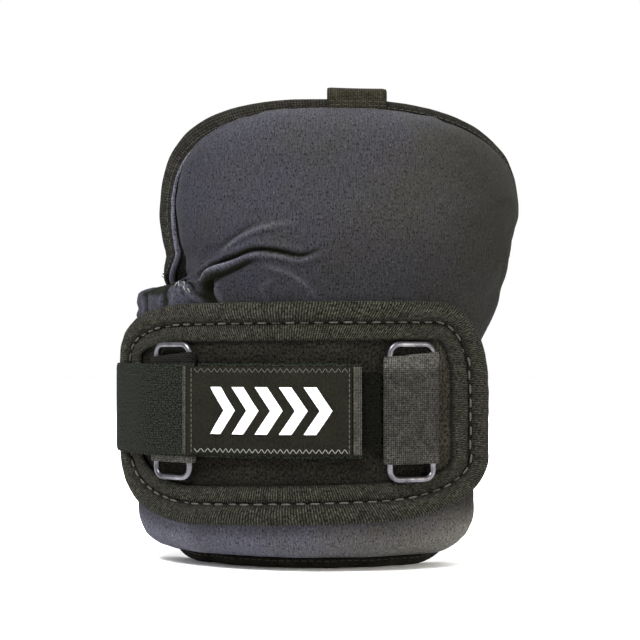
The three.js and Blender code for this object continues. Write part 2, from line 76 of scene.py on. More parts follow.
def lerp(start: Array, end: Array, share: Array) -> Array:
    """Return start + (end - start) * share."""
    return start + (end - start) * share


def gone_along(points: Array) -> Array:
    """Length gone from the first of a line's points to each of them."""
    return np.concatenate([[0.0], np.cumsum(np.linalg.norm(np.diff(points, axis=0), axis=1))])


def unit(vectors: Array) -> Array:
    """Vectors divided by their lengths."""
    return vectors / np.linalg.norm(vectors, axis=-1, keepdims=True)


def paired(first: Array, second: Array) -> Array:
    """Two arrays of fitting shapes side by side, on a last axis of 2."""
    return np.stack(np.broadcast_arrays(first, second), -1)


def grey(tone: float) -> Triple:
    """A neutral colour."""
    return tone, tone, tone


def corner_drop(distance: Array, across: float, up: float) -> Array:
    """How far an elliptical corner has left its side: up * (1 - sqrt(1 - (1 - d / across)^2)).

    Args:
        distance: distance from the end of the side.
        across: the corner's half axis along the side.
        up: its half axis square to the side.

    Returns:
        The drop at each distance.
    """
    share = 1.0 - np.clip(np.asarray(distance, float) / across, 0.0, 1.0)
    return up * (1.0 - np.sqrt(1.0 - share * share))


def ripples(x: Array, y: Array, wavelength: float, seed: int, waves: int = 9) -> Array:
    """Smooth random field: a sum of plane waves of about one wavelength, in seeded directions.

    Args:
        x: first coordinate.
        y: second coordinate.
        wavelength: mean length of a wave.
        seed: picks directions and phases.
        waves: how many waves are summed.

    Returns:
        Values of about -1 to 1.
    """
    draw = np.random.default_rng(seed)
    total = np.zeros(np.broadcast(x, y).shape)
    for turn, phase, stretch in draw.random((waves, 3)):
        pace = 2.0 * math.pi / (wavelength * (0.7 + 0.6 * stretch))
        way = math.tau * turn
        total += np.cos(pace * (x * math.cos(way) + y * math.sin(way)) + math.tau * phase)
    return total / math.sqrt(waves)


def line_distance(x: Array, y: Array, path: Array) -> tuple[Array, ...]:
    """Nearest distance from spots to an open line through points.

    Args:
        x: first coordinate of the spots.
        y: second coordinate of the spots.
        path: the line's points, shape (n, 2).

    Returns:
        The distance, the signed side (positive to the left of the way along), the share along and
        the unit direction from the line to the spot.
    """
    starts, ends = path[:-1], path[1:]
    steps = ends - starts
    lengths = np.hypot(steps[:, 0], steps[:, 1])
    before = np.concatenate([[0.0], np.cumsum(lengths)])
    best = np.full(np.shape(x), np.inf)
    side = np.zeros_like(best)
    along = np.zeros_like(best)
    away = np.zeros((*best.shape, 2))
    for start, step, length, gone in zip(starts, steps, lengths, before):
        share = np.clip(((x - start[0]) * step[0] + (y - start[1]) * step[1]) / length**2, 0.0, 1.0)
        off_x = x - start[0] - share * step[0]
        off_y = y - start[1] - share * step[1]
        distance = np.hypot(off_x, off_y)
        nearer = distance < best
        best = np.where(nearer, distance, best)
        side = np.where(nearer, (step[0] * off_y - step[1] * off_x) / length, side)
        along = np.where(nearer, (gone + share * length) / before[-1], along)
        away = np.where(nearer[..., None], np.stack([off_x, off_y], -1), away)
    return best, side, along, away / np.maximum(best, 1e-9)[..., None]


def spline(points: Array, count: int) -> Array:
    """Smooth open curve through points, evenly spaced: centripetal Catmull-Rom.

    Args:
        points: the points it passes, shape (n, k).
        count: how many samples come back.

    Returns:
        Samples a constant length apart, shape (count, k).
    """
    first = 2.0 * points[0] - points[1]
    last = 2.0 * points[-1] - points[-2]
    padded = np.vstack([first, points, last])
    fine = []
    for p0, p1, p2, p3 in zip(padded[:-3], padded[1:-2], padded[2:-1], padded[3:]):
        t0 = 0.0
        t1 = t0 + math.sqrt(np.linalg.norm(p1 - p0))
        t2 = t1 + math.sqrt(np.linalg.norm(p2 - p1))
        t3 = t2 + math.sqrt(np.linalg.norm(p3 - p2))
        t = np.linspace(t1, t2, 40, endpoint=False)[:, None]
        a1 = (t1 - t) / (t1 - t0) * p0 + (t - t0) / (t1 - t0) * p1
        a2 = (t2 - t) / (t2 - t1) * p1 + (t - t1) / (t2 - t1) * p2
        a3 = (t3 - t) / (t3 - t2) * p2 + (t - t2) / (t3 - t2) * p3
        b1 = (t2 - t) / (t2 - t0) * a1 + (t - t0) / (t2 - t0) * a2
        b2 = (t3 - t) / (t3 - t1) * a2 + (t - t1) / (t3 - t1) * a3
        fine.append((t2 - t) / (t2 - t1) * b1 + (t - t1) / (t2 - t1) * b2)
    curve = np.vstack([*fine, points[-1:]])
    return evenly(curve, count)


def depth_in(rows: int, columns: int) -> Array:
    """Number of grid steps from each grid point to the nearest border."""
    down = np.minimum(np.arange(rows), np.arange(rows)[::-1])
    across = np.minimum(np.arange(columns), np.arange(columns)[::-1])
    return np.minimum(down[:, None], across[None])


def evenly(curve: Array, count: int) -> Array:
    """Resample an open curve at equal lengths.

    Args:
        curve: its points, shape (n, k).
        count: how many samples come back.

    Returns:
        The samples, shape (count, k).
    """
    gone = gone_along(curve)
    wanted = np.linspace(0.0, gone[-1], count)
    return np.stack([np.interp(wanted, gone, column) for column in curve.T], axis=-1)


@dataclass(frozen=True)
class Curl:
    """The curled surface that every layer follows; its front line stays upright."""

    arm_radius: float = 65.0
    flare_radius: float = 105.0
    flare_start: float = 113.0
    flare_end: float = 151.0
    backing: float = 2.0

    def radius(self, height: Array) -> Array:
        """Radius of the liner's inner face, which opens out between two heights."""
        return lerp(self.arm_radius, self.flare_radius, smoothstep(height, self.flare_start, self.flare_end))

    def place(self, arc: Array, height: Array, depth: Array) -> Array:
        """Points in metres: angle = arc / radius, then radius + depth out from the axis.

        Args:
            arc: arc from the front line.
            height: height over the lower edge.
            depth: distance outwards from the liner's inner face.

        Returns:
            Points, with a last axis of 3.
        """
        arc, height, depth = np.broadcast_arrays(
            np.asarray(arc, float), np.asarray(height, float), np.asarray(depth, float))
        radius = self.radius(height)
        angle = arc / radius
        reach = radius + depth
        front = radius + self.backing / 2.0
        return np.stack([reach * np.sin(angle), front - reach * np.cos(angle), height], axis=-1) * MM

    def stretch(self, depth: float) -> float:
        """Real length at a depth on the straight cuff for each length of the liner's arc."""
        return (self.arm_radius + depth) / self.arm_radius

    def arc_at(self, length: float, depth: float) -> float:
        """Arc on the liner of a length measured at a depth on the straight cuff."""
        return length / self.stretch(depth)

    def cloth_uv(self, arc: Array, height: Array, depth: float) -> Array:
        """Cloth coordinates in millimetres: real length round the curl and height."""
        arc, height = np.broadcast_arrays(np.asarray(arc, float), np.asarray(height, float))
        return np.stack([arc * self.stretch(depth), height], axis=-1)


@dataclass(frozen=True)
class Layers:
    """Depths of the layers, each on the one before."""

    backing: float = 2.0
    tape: float = 1.0
    webbing: float = 1.0
    elastic: float = 1.5
    seam_gap: float = 0.3
    slot_gap: float = 0.45
    pad_gap: float = 0.6
    edge_gap: float = 0.6
    flange: float = 3.4
    cuff: float = 19.3
    panel: float = 2.0
    wire: float = 2.7
    patch: float = 1.8
    tab: float = 1.5
    label: float = 0.8

    @property
    def backing_inset(self) -> float:
        """How far the liner's edge lies inside its tape."""
        return self.tape + self.edge_gap

    @property
    def pad_inset(self) -> float:
        """How far the pad's edge lies inside the tape's outer edge."""
        return self.backing_inset + self.flange

    @property
    def pad_inner(self) -> float:
        """Depth of the pad's back."""
        return self.backing + self.pad_gap

    @property
    def cuff_outer(self) -> float:
        """Depth of the cuff's front."""
        return self.pad_inner + self.cuff

    @property
    def panel_inner(self) -> float:
        """Depth of the panel's back."""
        return self.cuff_outer + 2.0 * self.seam_gap + self.tape

    @property
    def panel_outer(self) -> float:
        """Depth of the panel's front."""
        return self.panel_inner + self.panel

    @property
    def panel_tape_outer(self) -> float:
        """Depth of the face of the panel's tape."""
        return self.panel_outer + self.seam_gap + self.tape

    @property
    def wire_centre(self) -> float:
        """Depth of the middle of the wire."""
        return self.panel_outer + self.seam_gap + self.webbing + self.seam_gap + self.wire / 2.0

    @property
    def band_outer(self) -> float:
        """Depth of the face of a webbing band."""
        return self.wire_centre + self.wire / 2.0 + self.seam_gap + self.webbing

    @property
    def patch_outer(self) -> float:
        """Depth of the pile patch's backing cloth."""
        return self.panel_outer + self.seam_gap + self.patch

    @property
    def tab_inner(self) -> float:
        """Depth of the tab's back."""
        return self.patch_outer + self.seam_gap

    @property
    def tab_outer(self) -> float:
        """Depth of the tab's face."""
        return self.tab_inner + self.tab

    @property
    def label_outer(self) -> float:
        """Depth of the label's face."""
        return self.tab_outer + self.seam_gap + self.label


@dataclass(frozen=True)
class Outline:
    """The bound liner's outline in arcs and heights."""

    height: float = 195.5
    cuff_left: float = 88.0
    cuff_right: float = 67.5
    dome_left: float = 74.0
    dome_right: float = 101.0
    left_corner: float = 25.0
    right_corner: float = 25.0
    notch: float = 119.0
    shoulder: float = 148.0
    neck_right: float = 87.5
    neck_low: float = 82.0
    neck_high: float = 114.0
    rise_low: float = 122.0
    rise_high: float = 152.0
    apex_shift: float = 8.8
    roundness: float = 2.6
    top_share: float = 0.995
    step_rise: float = 0.8

    def edges(self, height: Array, inset: float) -> tuple[Array, Array]:
        """Left and right edge at each height: two smooth steps, round corners, a superellipse top.

        Args:
            height: heights over the lower edge.
            inset: how far the edge is moved inwards.

        Returns:
            The left and the right arc.
        """
        left_share = smoothstep(height, self.notch, (self.notch + self.shoulder) / 2.0)
        left = lerp(self.cuff_left, self.dome_left, left_share) - inset
        right = lerp(self.cuff_right, self.neck_right, smoothstep(height, self.neck_low, self.neck_high))
        right = lerp(right, self.dome_right, smoothstep(height, self.rise_low, self.rise_high)) - inset
        left = left - corner_drop(height - inset, self.left_corner - inset, self.left_corner - inset)
        right = right - corner_drop(height - inset, self.right_corner - inset, self.right_corner - inset)
        rise = self.height - inset - self.shoulder
        share = np.clip((height - self.shoulder) / rise, 0.0, 1.0)
        narrowing = (1.0 - share**self.roundness) ** (1.0 / self.roundness)
        centre = (right - left) / 2.0 - self.apex_shift * share**3
        half = (right + left) / 2.0 * narrowing
        return centre - half, centre + half

    def heights(self, inset: float, corner_rows: int, side_rows: int, dome_rows: int) -> Array:
        """Heights of the rows, closer in the corners and up the round top.

        Args:
            inset: how far it lies inside the edge.
            corner_rows: rows in the lower corners.
            side_rows: rows up the sides.
            dome_rows: rows up the round top.

        Returns:
            The heights, from below.
        """
        corner = max(self.left_corner, self.right_corner) - inset
        low = inset + corner * (1.0 - np.cos(np.linspace(0.0, math.pi / 2.0, corner_rows, endpoint=False)))
        below = round(side_rows * (self.notch - inset - corner) / (self.shoulder - inset - corner))
        low_side = np.linspace(inset + corner, self.notch - self.step_rise, below)
        high_side = np.linspace(self.notch + self.step_rise, self.shoulder, side_rows - below, endpoint=False)
        side = np.concatenate([low_side, high_side])
        turn = np.linspace(0.0, math.asin(self.top_share), dome_rows + 1)
        dome = self.shoulder + (self.height - inset - self.shoulder) * np.sin(turn)
        return np.concatenate([low, side, dome])

    def ring(self, inset: float) -> Array:
        """The whole outline as a closed ring of arcs and heights, upwards on the right.

        Args:
            inset: how far the ring lies inside the edge.

        Returns:
            Points, shape (n, 2), with the same n for every inset.
        """
        heights = self.heights(inset, 14, 50, 26)
        left, right = self.edges(heights, inset)
        low = np.linspace(left[0], right[0], 48)[1:-1]
        high = np.linspace(right[-1], left[-1], 14)[1:-1]
        return np.concatenate([
            np.stack([low, np.full_like(low, heights[0])], -1),
            np.stack([right, heights], -1),
            np.stack([high, np.full_like(high, heights[-1])], -1),
            np.stack([left, heights], -1)[::-1],
        ])


@dataclass(frozen=True)
class PanelShape:
    """The strap panel's outline in arcs and heights, with four elliptical corners."""

    width: float = 191.5
    centre: float = -11.4
    low: float = 17.5
    tall: float = 92.0
    top_rise: float = 1.5
    bottom_rise: float = 5.0
    upper_left: Span = (0.28, 0.24)
    upper_right: Span = (0.16, 0.39)
    lower_left: Span = (0.32, 0.36)
    lower_right: Span = (0.30, 0.26)

    def spans(self, share: Array, inset: float) -> tuple[Array, Array, Array]:
        """Arc, lower and upper height at shares across: two sloping lines less the corner drops.

        Args:
            share: 0 at the left end to 1 at the right end.
            inset: how far the outline is moved inwards.

        Returns:
            The arc, the lower height and the upper height.
        """
        width = CURL.arc_at(self.width, LAYERS.panel_outer)
        left = self.centre - width / 2.0
        eased = lerp(share, 0.5 - 0.5 * np.cos(math.pi * share), 0.75)
        arc = lerp(left + inset, left + width - inset, eased)
        across = (arc - left) / width
        from_left = arc - left - inset
        from_right = left + width - inset - arc

        def drop(distance: Array, corner: Span) -> Array:
            """Drop of one corner, set in like the outline."""
            return corner_drop(distance, corner[0] * width - inset, corner[1] * self.tall - inset)

        top = self.low + self.tall + self.top_rise * across - inset
        bottom = self.low + self.bottom_rise * across + inset
        top = top - drop(from_left, self.upper_left) - drop(from_right, self.upper_right)
        bottom = bottom + drop(from_left, self.lower_left) + drop(from_right, self.lower_right)
        return arc, bottom, top

    def ring(self, inset: float) -> Array:
        """The outline as a closed ring, over the top to the right and back below."""
        arc, bottom, top = self.spans(np.linspace(0.0, 1.0, 121), inset)
        return np.concatenate([np.stack([arc, top], -1), np.stack([arc, bottom], -1)[::-1]])


CURL = Curl()
LAYERS = Layers()
OUTLINE = Outline()
PANEL = PanelShape()


@dataclass
class Patch:
    """One grid of a mesh: points in metres, cloth coordinates in millimetres and marks.

    Marks are two shares at each point: how much painted shade darkens the cloth there and how much painted
    light brightens it.
    """

    points: Array
    uv: Array
    wrap: bool = False
    period: float = 0.0
    light_and_shade: Array | None = None

    def faces(self) -> tuple[Array, Array, Array]:
        """Quads of the grid with the cloth coordinates and the marks of their corners.

        Returns:
            Vertex numbers, shape (n, 4), coordinates and marks, both of shape (n, 4, 2).
        """
        rows, columns = self.points.shape[:2]
        last = rows if self.wrap else rows - 1
        row, column = np.meshgrid(np.arange(last), np.arange(columns - 1), indexing="ij")
        row, column = row.ravel(), column.ravel()
        after = (row + 1) % rows
        quads = np.stack([row * columns + column, row * columns + column + 1,
                          after * columns + column + 1, after * columns + column], -1)
        spots = self.uv.reshape(-1, 2)[quads]
        spots[row + 1 >= rows, 2:, 0] += self.period
        light_and_shade = np.zeros_like(self.uv) if self.light_and_shade is None else self.light_and_shade
        return quads, spots, light_and_shade.reshape(-1, 2)[quads]


def build(name: str, patches: list[Patch], material: bpy.types.Material) -> Piece:
    """Join patches into one closed smooth mesh with merged borders and faces turned outwards.

    Args:
        name: the object's name.
        patches: grids whose borders meet.
        material: its material.

    Returns:
        The new object, at the origin.
    """
    vertices, quads, spots, painted_parts, count = [], [], [], [], 0
    for patch in patches:
        faces, corners, light_and_shade = patch.faces()
        vertices.append(patch.points.reshape(-1, 3))
        quads.append(faces + count)
        spots.append(corners)
        painted_parts.append(light_and_shade)
        count += vertices[-1].shape[0]
    points = np.concatenate(vertices).astype(np.float32)
    faces = np.concatenate(quads).astype(np.int32)
    corners = np.concatenate(spots).astype(np.float32)
    mesh = bpy.data.meshes.new(name)
    mesh.vertices.add(len(points))
    mesh.vertices.foreach_set("co", points.ravel())
    mesh.loops.add(faces.size)
    mesh.loops.foreach_set("vertex_index", faces.ravel())
    mesh.polygons.add(len(faces))
    mesh.polygons.foreach_set("loop_start", np.arange(0, faces.size, 4, dtype=np.int32))
    mesh.uv_layers.new(name=UV_NAME).data.foreach_set("uv", corners.ravel())
    # Painted shade and painted light of every corner, kept in a second UV map.
    light_and_shade = np.concatenate(painted_parts).astype(np.float32)
    mesh.uv_layers.new(name=LIGHT_SHADE_MAP).data.foreach_set("uv", light_and_shade.ravel())
    mesh.update(calc_edges=True)
    work = bmesh.new()
    work.from_mesh(mesh)
    bmesh.ops.remove_doubles(work, verts=work.verts, dist=2e-6)
    bmesh.ops.dissolve_degenerate(work, edges=work.edges, dist=1e-7)
    bmesh.ops.recalc_face_normals(work, faces=work.faces)
    work.to_mesh(mesh)
    work.free()
    mesh.polygons.foreach_set("use_smooth", np.ones(len(mesh.polygons), bool))
    mesh.materials.append(material)
    piece = bpy.data.objects.new(name, mesh)
    bpy.context.scene.collection.objects.link(piece)
    LOG.info("%s: %d faces", name, len(mesh.polygons))
    return piece


def shell(outer: Array, inner: Array, uv: Array, wrap: bool = False, period: float = 0.0,
          light_and_shade: Array | None = None) -> list[Patch]:
    """Close two grids of one shape into a solid with a rim.

    Args:
        outer: grid of the outer face.
        inner: grid of the inner face.
        uv: cloth coordinates of both.
        wrap: the grid's rows close on themselves.
        period: cloth length round a closed grid.
        light_and_shade: marks of the outer face.

    Returns:
        The patches of both faces and of the rim.
    """
    patches = [Patch(outer, uv, wrap, period, light_and_shade), Patch(inner, uv, wrap, period)]
    for column in (0, -1):
        patches.append(Patch(np.stack([outer[:, column], inner[:, column]], 1),
                             np.stack([uv[:, column], uv[:, column]], 1), wrap, period))
    if not wrap:
        for row in (0, -1):
            patches.append(Patch(np.stack([outer[row], inner[row]], 0), np.stack([uv[row], uv[row]], 0)))
    return patches


def grid_normals(points: Array, wrap: bool) -> Array:
    """Unit normals of a grid from its neighbours: the cross product of the two ways along it.

    Args:
        points: the grid.
        wrap: the rows close on themselves.

    Returns:
        The normals, of the same shape.
    """
    if wrap:
        down = np.roll(points, -1, 0) - np.roll(points, 1, 0)
    else:
        down = np.gradient(points, axis=0)
    across = np.gradient(points, axis=1)
    normal = np.cross(down, across)
    return normal / np.maximum(np.linalg.norm(normal, axis=-1, keepdims=True), 1e-12)


def cloth(middle: Array, uv: Array, thickness: float, wrap: bool = False,
          period: float = 0.0, light_and_shade: Array | None = None) -> list[Patch]:
    """Solid cloth about a middle surface, its free edges rounded: middle +- normal * half.

    Args:
        middle: grid of the middle surface, in metres.
        uv: cloth coordinates in millimetres.
        thickness: thickness in millimetres.
        wrap: the rows close on themselves.
        period: cloth length round a closed grid.
        light_and_shade: marks of the face on the side of the normal.

    Returns:
        The patches of the solid.
    """
    rows, columns = middle.shape[:2]
    half = np.full((rows, columns), thickness / 2.0)
    for fold in (0, 1):
        share = np.array([0.45, 0.85])[fold]
        half[:, fold] *= share
        half[:, columns - 1 - fold] *= share
        if not wrap:
            half[fold, :] *= share
            half[rows - 1 - fold, :] *= share
    normal = grid_normals(middle, wrap)
    outer = middle + normal * (half * MM)[..., None]
    inner = middle - normal * (half * MM)[..., None]
    patches = shell(outer, inner, uv, wrap, period, light_and_shade)
    patches[1].light_and_shade = light_and_shade
    return patches


class Graph:
    """A node material under construction, ending in one Principled shader."""

    def __init__(self, name: str, roughness: float, metallic: float = 0.0, sheen: float = 0.0) -> None:
        """Start the material.

        Args:
            name: the material's name.
            roughness: the shader's roughness.
            metallic: the shader's metalness.
            sheen: weight of the cloth sheen.
        """
        self.material = bpy.data.materials.new(name)
        self.material.use_nodes = True
        self.tree = self.material.node_tree
        self.tree.nodes.clear()
        self.shader = self.tree.nodes.new("ShaderNodeBsdfPrincipled")
        self.shader.inputs["Roughness"].default_value = roughness
        self.shader.inputs["Metallic"].default_value = metallic
        self.shader.inputs["Specular IOR Level"].default_value = 0.5 if metallic else 0.04
        if sheen:
            self.shader.inputs["Sheen Weight"].default_value = sheen
            self.shader.inputs["Sheen Roughness"].default_value = 0.5
        output = self.tree.nodes.new("ShaderNodeOutputMaterial")
        self.tree.links.new(self.shader.outputs[0], output.inputs[0])

    def add(self, kind: str, inputs: dict | None = None, **settings: object) -> bpy.types.Node:
        """Add a node.

        Args:
            kind: the node's type.
            inputs: sockets by name or number, each a value or another node's output.
            settings: the node's own properties.

        Returns:
            The node.
        """
        node = self.tree.nodes.new(kind)
        for key, value in settings.items():
            setattr(node, key, value)
        for key, value in (inputs or {}).items():
            if isinstance(value, Socket):
                self.tree.links.new(value, node.inputs[key])
            else:
                node.inputs[key].default_value = value
        return node

    def cloth_point(self, across: float, along: float) -> Socket:
        """Cloth coordinates divided by two lengths in millimetres."""
        where = self.add("ShaderNodeUVMap", uv_map=UV_NAME)
        mapping = self.add("ShaderNodeMapping", {"Vector": where.outputs[0],
                                                 "Scale": (1.0 / across, 1.0 / along, 1.0)})
        return mapping.outputs[0]

    def noise(self, point: Socket, scale: float, detail: float = 2.0) -> Socket:
        """Noise at a point, as a value of about 0 to 1."""
        return self.add("ShaderNodeTexNoise", {"Vector": point, "Scale": scale, "Detail": detail}).outputs[0]

    def object_noise(self, size: float, detail: float = 2.0) -> Socket:
        """Noise in the object's own space, with lumps of about size millimetres."""
        where = self.add("ShaderNodeTexCoord")
        return self.noise(where.outputs["Object"], 1.0 / (size * MM), detail)

    def math(self, operation: str, first: object, second: object = 0.0) -> Socket:
        """One arithmetic step."""
        return self.add("ShaderNodeMath", {0: first, 1: second}, operation=operation).outputs[0]

    def ramp(self, value: Socket, stops: list[tuple[float, Triple]]) -> Socket:
        """Colour ramp through stops of a place and a colour.

        Args:
            value: a value of 0 to 1.
            stops: places and colours.

        Returns:
            The colour.
        """
        node = self.add("ShaderNodeValToRGB", {0: value})
        elements = node.color_ramp.elements
        while len(elements) < len(stops):
            elements.new(0.5)
        for element, (place, colour) in zip(elements, stops):
            element.position = place
            element.color = (*colour, 1.0)
        return node.outputs[0]

    def blend(self, share: object, first: object, second: object, kind: str = "MIX") -> Socket:
        """Mix two colours.

        Args:
            share: how much of the second.
            first: the first colour.
            second: the second colour.
            kind: how they are mixed.

        Returns:
            The mixed colour.
        """
        node = self.add("ShaderNodeMix", data_type="RGBA", blend_type=kind)
        for socket, value in ((node.inputs[0], share), (node.inputs[6], first), (node.inputs[7], second)):
            if isinstance(value, Socket):
                self.tree.links.new(value, socket)
            else:
                socket.default_value = value if isinstance(value, float) else (*value, 1.0)
        return node.outputs[2]

    def crown(self, value: Socket) -> Socket:
        """Rounded crowns one step apart: |sin(pi * value)|."""
        return self.math("ABSOLUTE", self.math("SINE", self.math("MULTIPLY", value, math.pi)))

    def weave(self, across: float, along: float) -> Socket:
        """Relief of a plain weave: warp crowns where a checker says over, weft crowns elsewhere.

        Args:
            across: length of one step across, in millimetres.
            along: length of one step along.

        Returns:
            The relief, 0 to 1.
        """
        point = self.cloth_point(across, along)
        parts = self.add("ShaderNodeSeparateXYZ", {0: point})
        warp = self.crown(parts.outputs[0])
        weft = self.crown(parts.outputs[1])
        over = self.add("ShaderNodeTexChecker", {"Vector": point, "Scale": 1.0}).outputs["Fac"]
        first = self.math("MULTIPLY", over, warp)
        second = self.math("MULTIPLY", self.math("SUBTRACT", 1.0, over), weft)
        return self.math("ADD", first, second)

    def ribs(self, across: float, along: float) -> Socket:
        """Relief of ribs across a tape: |sin| of the way along it, uneven, pinched by the weft.

        Args:
            across: length of one step across, in millimetres.
            along: length of one step along.

        Returns:
            The relief, 0 to 1.
        """
        point = self.cloth_point(across, along)
        wobble = self.noise(self.cloth_point(across * 2.5, along * 1.5), 1.0, 2.0)
        parts = self.add("ShaderNodeSeparateXYZ", {0: point})
        place = self.math("ADD", parts.outputs[0], self.math("MULTIPLY", wobble, 0.6))
        crown = self.crown(place)
        pinch = self.crown(parts.outputs[1])
        return self.math("MULTIPLY", crown, self.math("ADD", 0.75, self.math("MULTIPLY", pinch, 0.25)))

    def relief(self, height: Socket, depth: float, strength: float = 1.0,
               below: Socket | None = None) -> Socket:
        """Bump of a height of 0 to 1 over a depth in millimetres."""
        inputs = {"Height": height, "Distance": depth * MM, "Strength": strength}
        if below is not None:
            inputs["Normal"] = below
        return self.add("ShaderNodeBump", inputs).outputs[0]

    def paint_light_and_shade(self, colour: Socket, dark: Triple, pale: float) -> Socket:
        """Paint light and shade on a colour: towards the dark shade colour by the first mark, times the
        painted light's gain pale by the second.
        """
        where = self.add("ShaderNodeUVMap", uv_map=LIGHT_SHADE_MAP)
        parts = self.add("ShaderNodeSeparateXYZ", {0: where.outputs[0]})
        painted_light_gain = self.blend(parts.outputs[1], grey(1.0), grey(pale))
        return self.blend(parts.outputs[0], self.blend(1.0, colour, painted_light_gain, "MULTIPLY"), dark)

    def finish(self, colour: Socket, normal: Socket) -> bpy.types.Material:
        """Wire colour and normal to the shader and return the material."""
        self.tree.links.new(colour, self.shader.inputs["Base Color"])
        self.tree.links.new(normal, self.shader.inputs["Normal"])
        return self.material


def tinted(colour: Triple, share: float) -> Triple:
    """A colour times a share."""
    return tuple(channel * share for channel in colour)


@dataclass(frozen=True)
class HeatherCloth:
    """Charcoal cover cloth: fine weave, upright slubs, dark and light flecks, painted shade in its creases
    and a painted tint and brightness of the light.
    """

    name: str = "cover_cloth"
    # Cloth colours as tinted by the cooler light from the left and the warmer light from the right.
    cool: Triple = (0.0141, 0.0138, 0.0174)
    warm: Triple = (0.0140, 0.0132, 0.0117)
    # Colour of the painted shade in the creases.
    crease: Triple = (0.0030, 0.0036, 0.0008)
    # Gain of the painted light.
    painted_light_gain: float = 7.0
    # How fast the painted tint of the light changes from left to right.
    side_light_tint: float = 5.0
    thread: float = 0.55
    relief: float = 0.22

    def make(self) -> bpy.types.Material:
        """Return the material."""
        graph = Graph(self.name, 0.95, sheen=0.02)
        slub = graph.noise(graph.cloth_point(0.5, 5.0), 1.0, 3.0)
        fleck = graph.noise(graph.cloth_point(0.7, 1.1), 1.0, 2.0)
        streaks = graph.ramp(slub, [(0.3, grey(0.68)), (0.7, grey(1.32))])
        specks = graph.ramp(fleck, [(0.34, grey(0.22)), (0.44, grey(1.0)),
                                    (0.60, grey(1.0)), (0.72, (1.8, 1.8, 1.9))])
        # Painted tint of the light: from the cooler left colour to the warmer right colour across the object,
        # mixed with random patches.
        place = graph.add("ShaderNodeTexCoord").outputs["Object"]
        sideways = graph.add("ShaderNodeSeparateXYZ", {0: place}).outputs[0]
        side_light_tint = graph.math("ADD", graph.math("MULTIPLY", sideways, self.side_light_tint), graph.object_noise(26.0, 2.0))
        share = graph.ramp(side_light_tint, [(0.25, grey(0.0)), (0.85, grey(1.0))])
        base = graph.blend(share, self.cool, self.warm)
        colour = graph.blend(1.0, graph.blend(1.0, base, streaks, "MULTIPLY"), specks, "MULTIPLY")
        # Painted shade in the creases and painted light, from the marks.
        colour = graph.paint_light_and_shade(colour, self.crease, self.painted_light_gain)
        weave = graph.weave(self.thread, self.thread)
        rough = graph.relief(slub, 0.25, 0.8)
        return graph.finish(colour, graph.relief(weave, self.relief, 0.7, rough))


@dataclass(frozen=True)
class Tape:
    """Woven tape or webbing: ribs across it, uneven, paler on its crowns, with painted shade where it is sewn
    in and painted light where the marks say.
    """

    name: str
    colour: Triple
    rib: float = 1.1
    thread: float = 0.6
    relief: float = 0.3
    contrast: float = 0.35
    grain: float = 0.38
    ribbed: bool = False
    roughness: float = 0.9

    def make(self) -> bpy.types.Material:
        """Return the material."""
        graph = Graph(self.name, self.roughness, sheen=0.01)
        weave = (graph.ribs if self.ribbed else graph.weave)(self.rib, self.thread)
        grain = graph.noise(graph.cloth_point(1.0, 1.0), 1.0, 3.0)
        broad = graph.noise(graph.cloth_point(4.0, 4.0), 1.0, 3.0)
        crown = graph.ramp(weave, [(0.35, tinted(self.colour, 1.0 - self.contrast)),
                                   (0.9, tinted(self.colour, 1.0 + self.contrast))])
        uneven = graph.ramp(grain, [(0.3, grey(1.0 - self.grain)), (0.7, grey(1.0 + self.grain))])
        dusty = graph.ramp(broad, [(0.3, grey(0.65)), (0.7, grey(1.35))])
        colour = graph.blend(1.0, graph.blend(1.0, crown, uneven, "MULTIPLY"), dusty, "MULTIPLY")
        # Painted shade and painted light, from the marks.
        colour = graph.paint_light_and_shade(colour, tinted(self.colour, 0.1), 2.6)
        under = graph.relief(grain, self.relief * 0.7, 0.6)
        return graph.finish(colour, graph.relief(weave, self.relief, 0.9, under))


@dataclass(frozen=True)
class Elastic:
    """Knitted elastic: fine cords along its length with short crossing threads."""

    name: str = "elastic"
    colour: Triple = (0.0078, 0.0088, 0.0066)
    cord: float = 1.0

    def make(self) -> bpy.types.Material:
        """Return the material."""
        graph = Graph(self.name, 0.95)
        point = graph.cloth_point(0.9, self.cord)
        parts = graph.add("ShaderNodeSeparateXYZ", {0: point})
        cords = graph.crown(parts.outputs[1])
        weave = graph.weave(0.9, self.cord)
        grain = graph.noise(graph.cloth_point(0.8, 0.8), 1.0, 3.0)
        tone = graph.ramp(cords, [(0.1, tinted(self.colour, 0.75)), (0.95, tinted(self.colour, 1.15))])
        uneven = graph.ramp(grain, [(0.4, grey(0.25)), (0.62, grey(2.0))])
        colour = graph.blend(1.0, tone, uneven, "MULTIPLY")
        return graph.finish(colour, graph.relief(weave, 0.3, 0.8, graph.relief(grain, 0.2, 0.5)))


@dataclass(frozen=True)
class Packcloth:
    """Dark plain cloth with a soft nap."""

    name: str
    colour: Triple
    thread: float = 0.7
    roughness: float = 0.95
    mottle: float = 0.75

    def make(self) -> bpy.types.Material:
        """Return the material."""
        graph = Graph(self.name, self.roughness)
        nap = graph.noise(graph.cloth_point(0.9, 1.2), 1.0, 3.0)
        broad = graph.noise(graph.cloth_point(18.0, 12.0), 1.0, 2.0)
        weave = graph.weave(self.thread, self.thread)
        tone = graph.ramp(nap, [(0.35, tinted(self.colour, 1.0 - self.mottle)),
                                (0.65, tinted(self.colour, 1.0 + self.mottle))])
        dusty = graph.ramp(broad, [(0.3, (0.8, 0.8, 0.82)), (0.7, (1.2, 1.2, 1.16))])
        colour = graph.blend(1.0, tone, dusty, "MULTIPLY")
        # Painted shade and painted light, from the marks.
        colour = graph.paint_light_and_shade(colour, tinted(self.colour, 0.2), 3.0)
        return graph.finish(colour, graph.relief(weave, 0.2, 0.6, graph.relief(nap, 0.35, 0.6)))


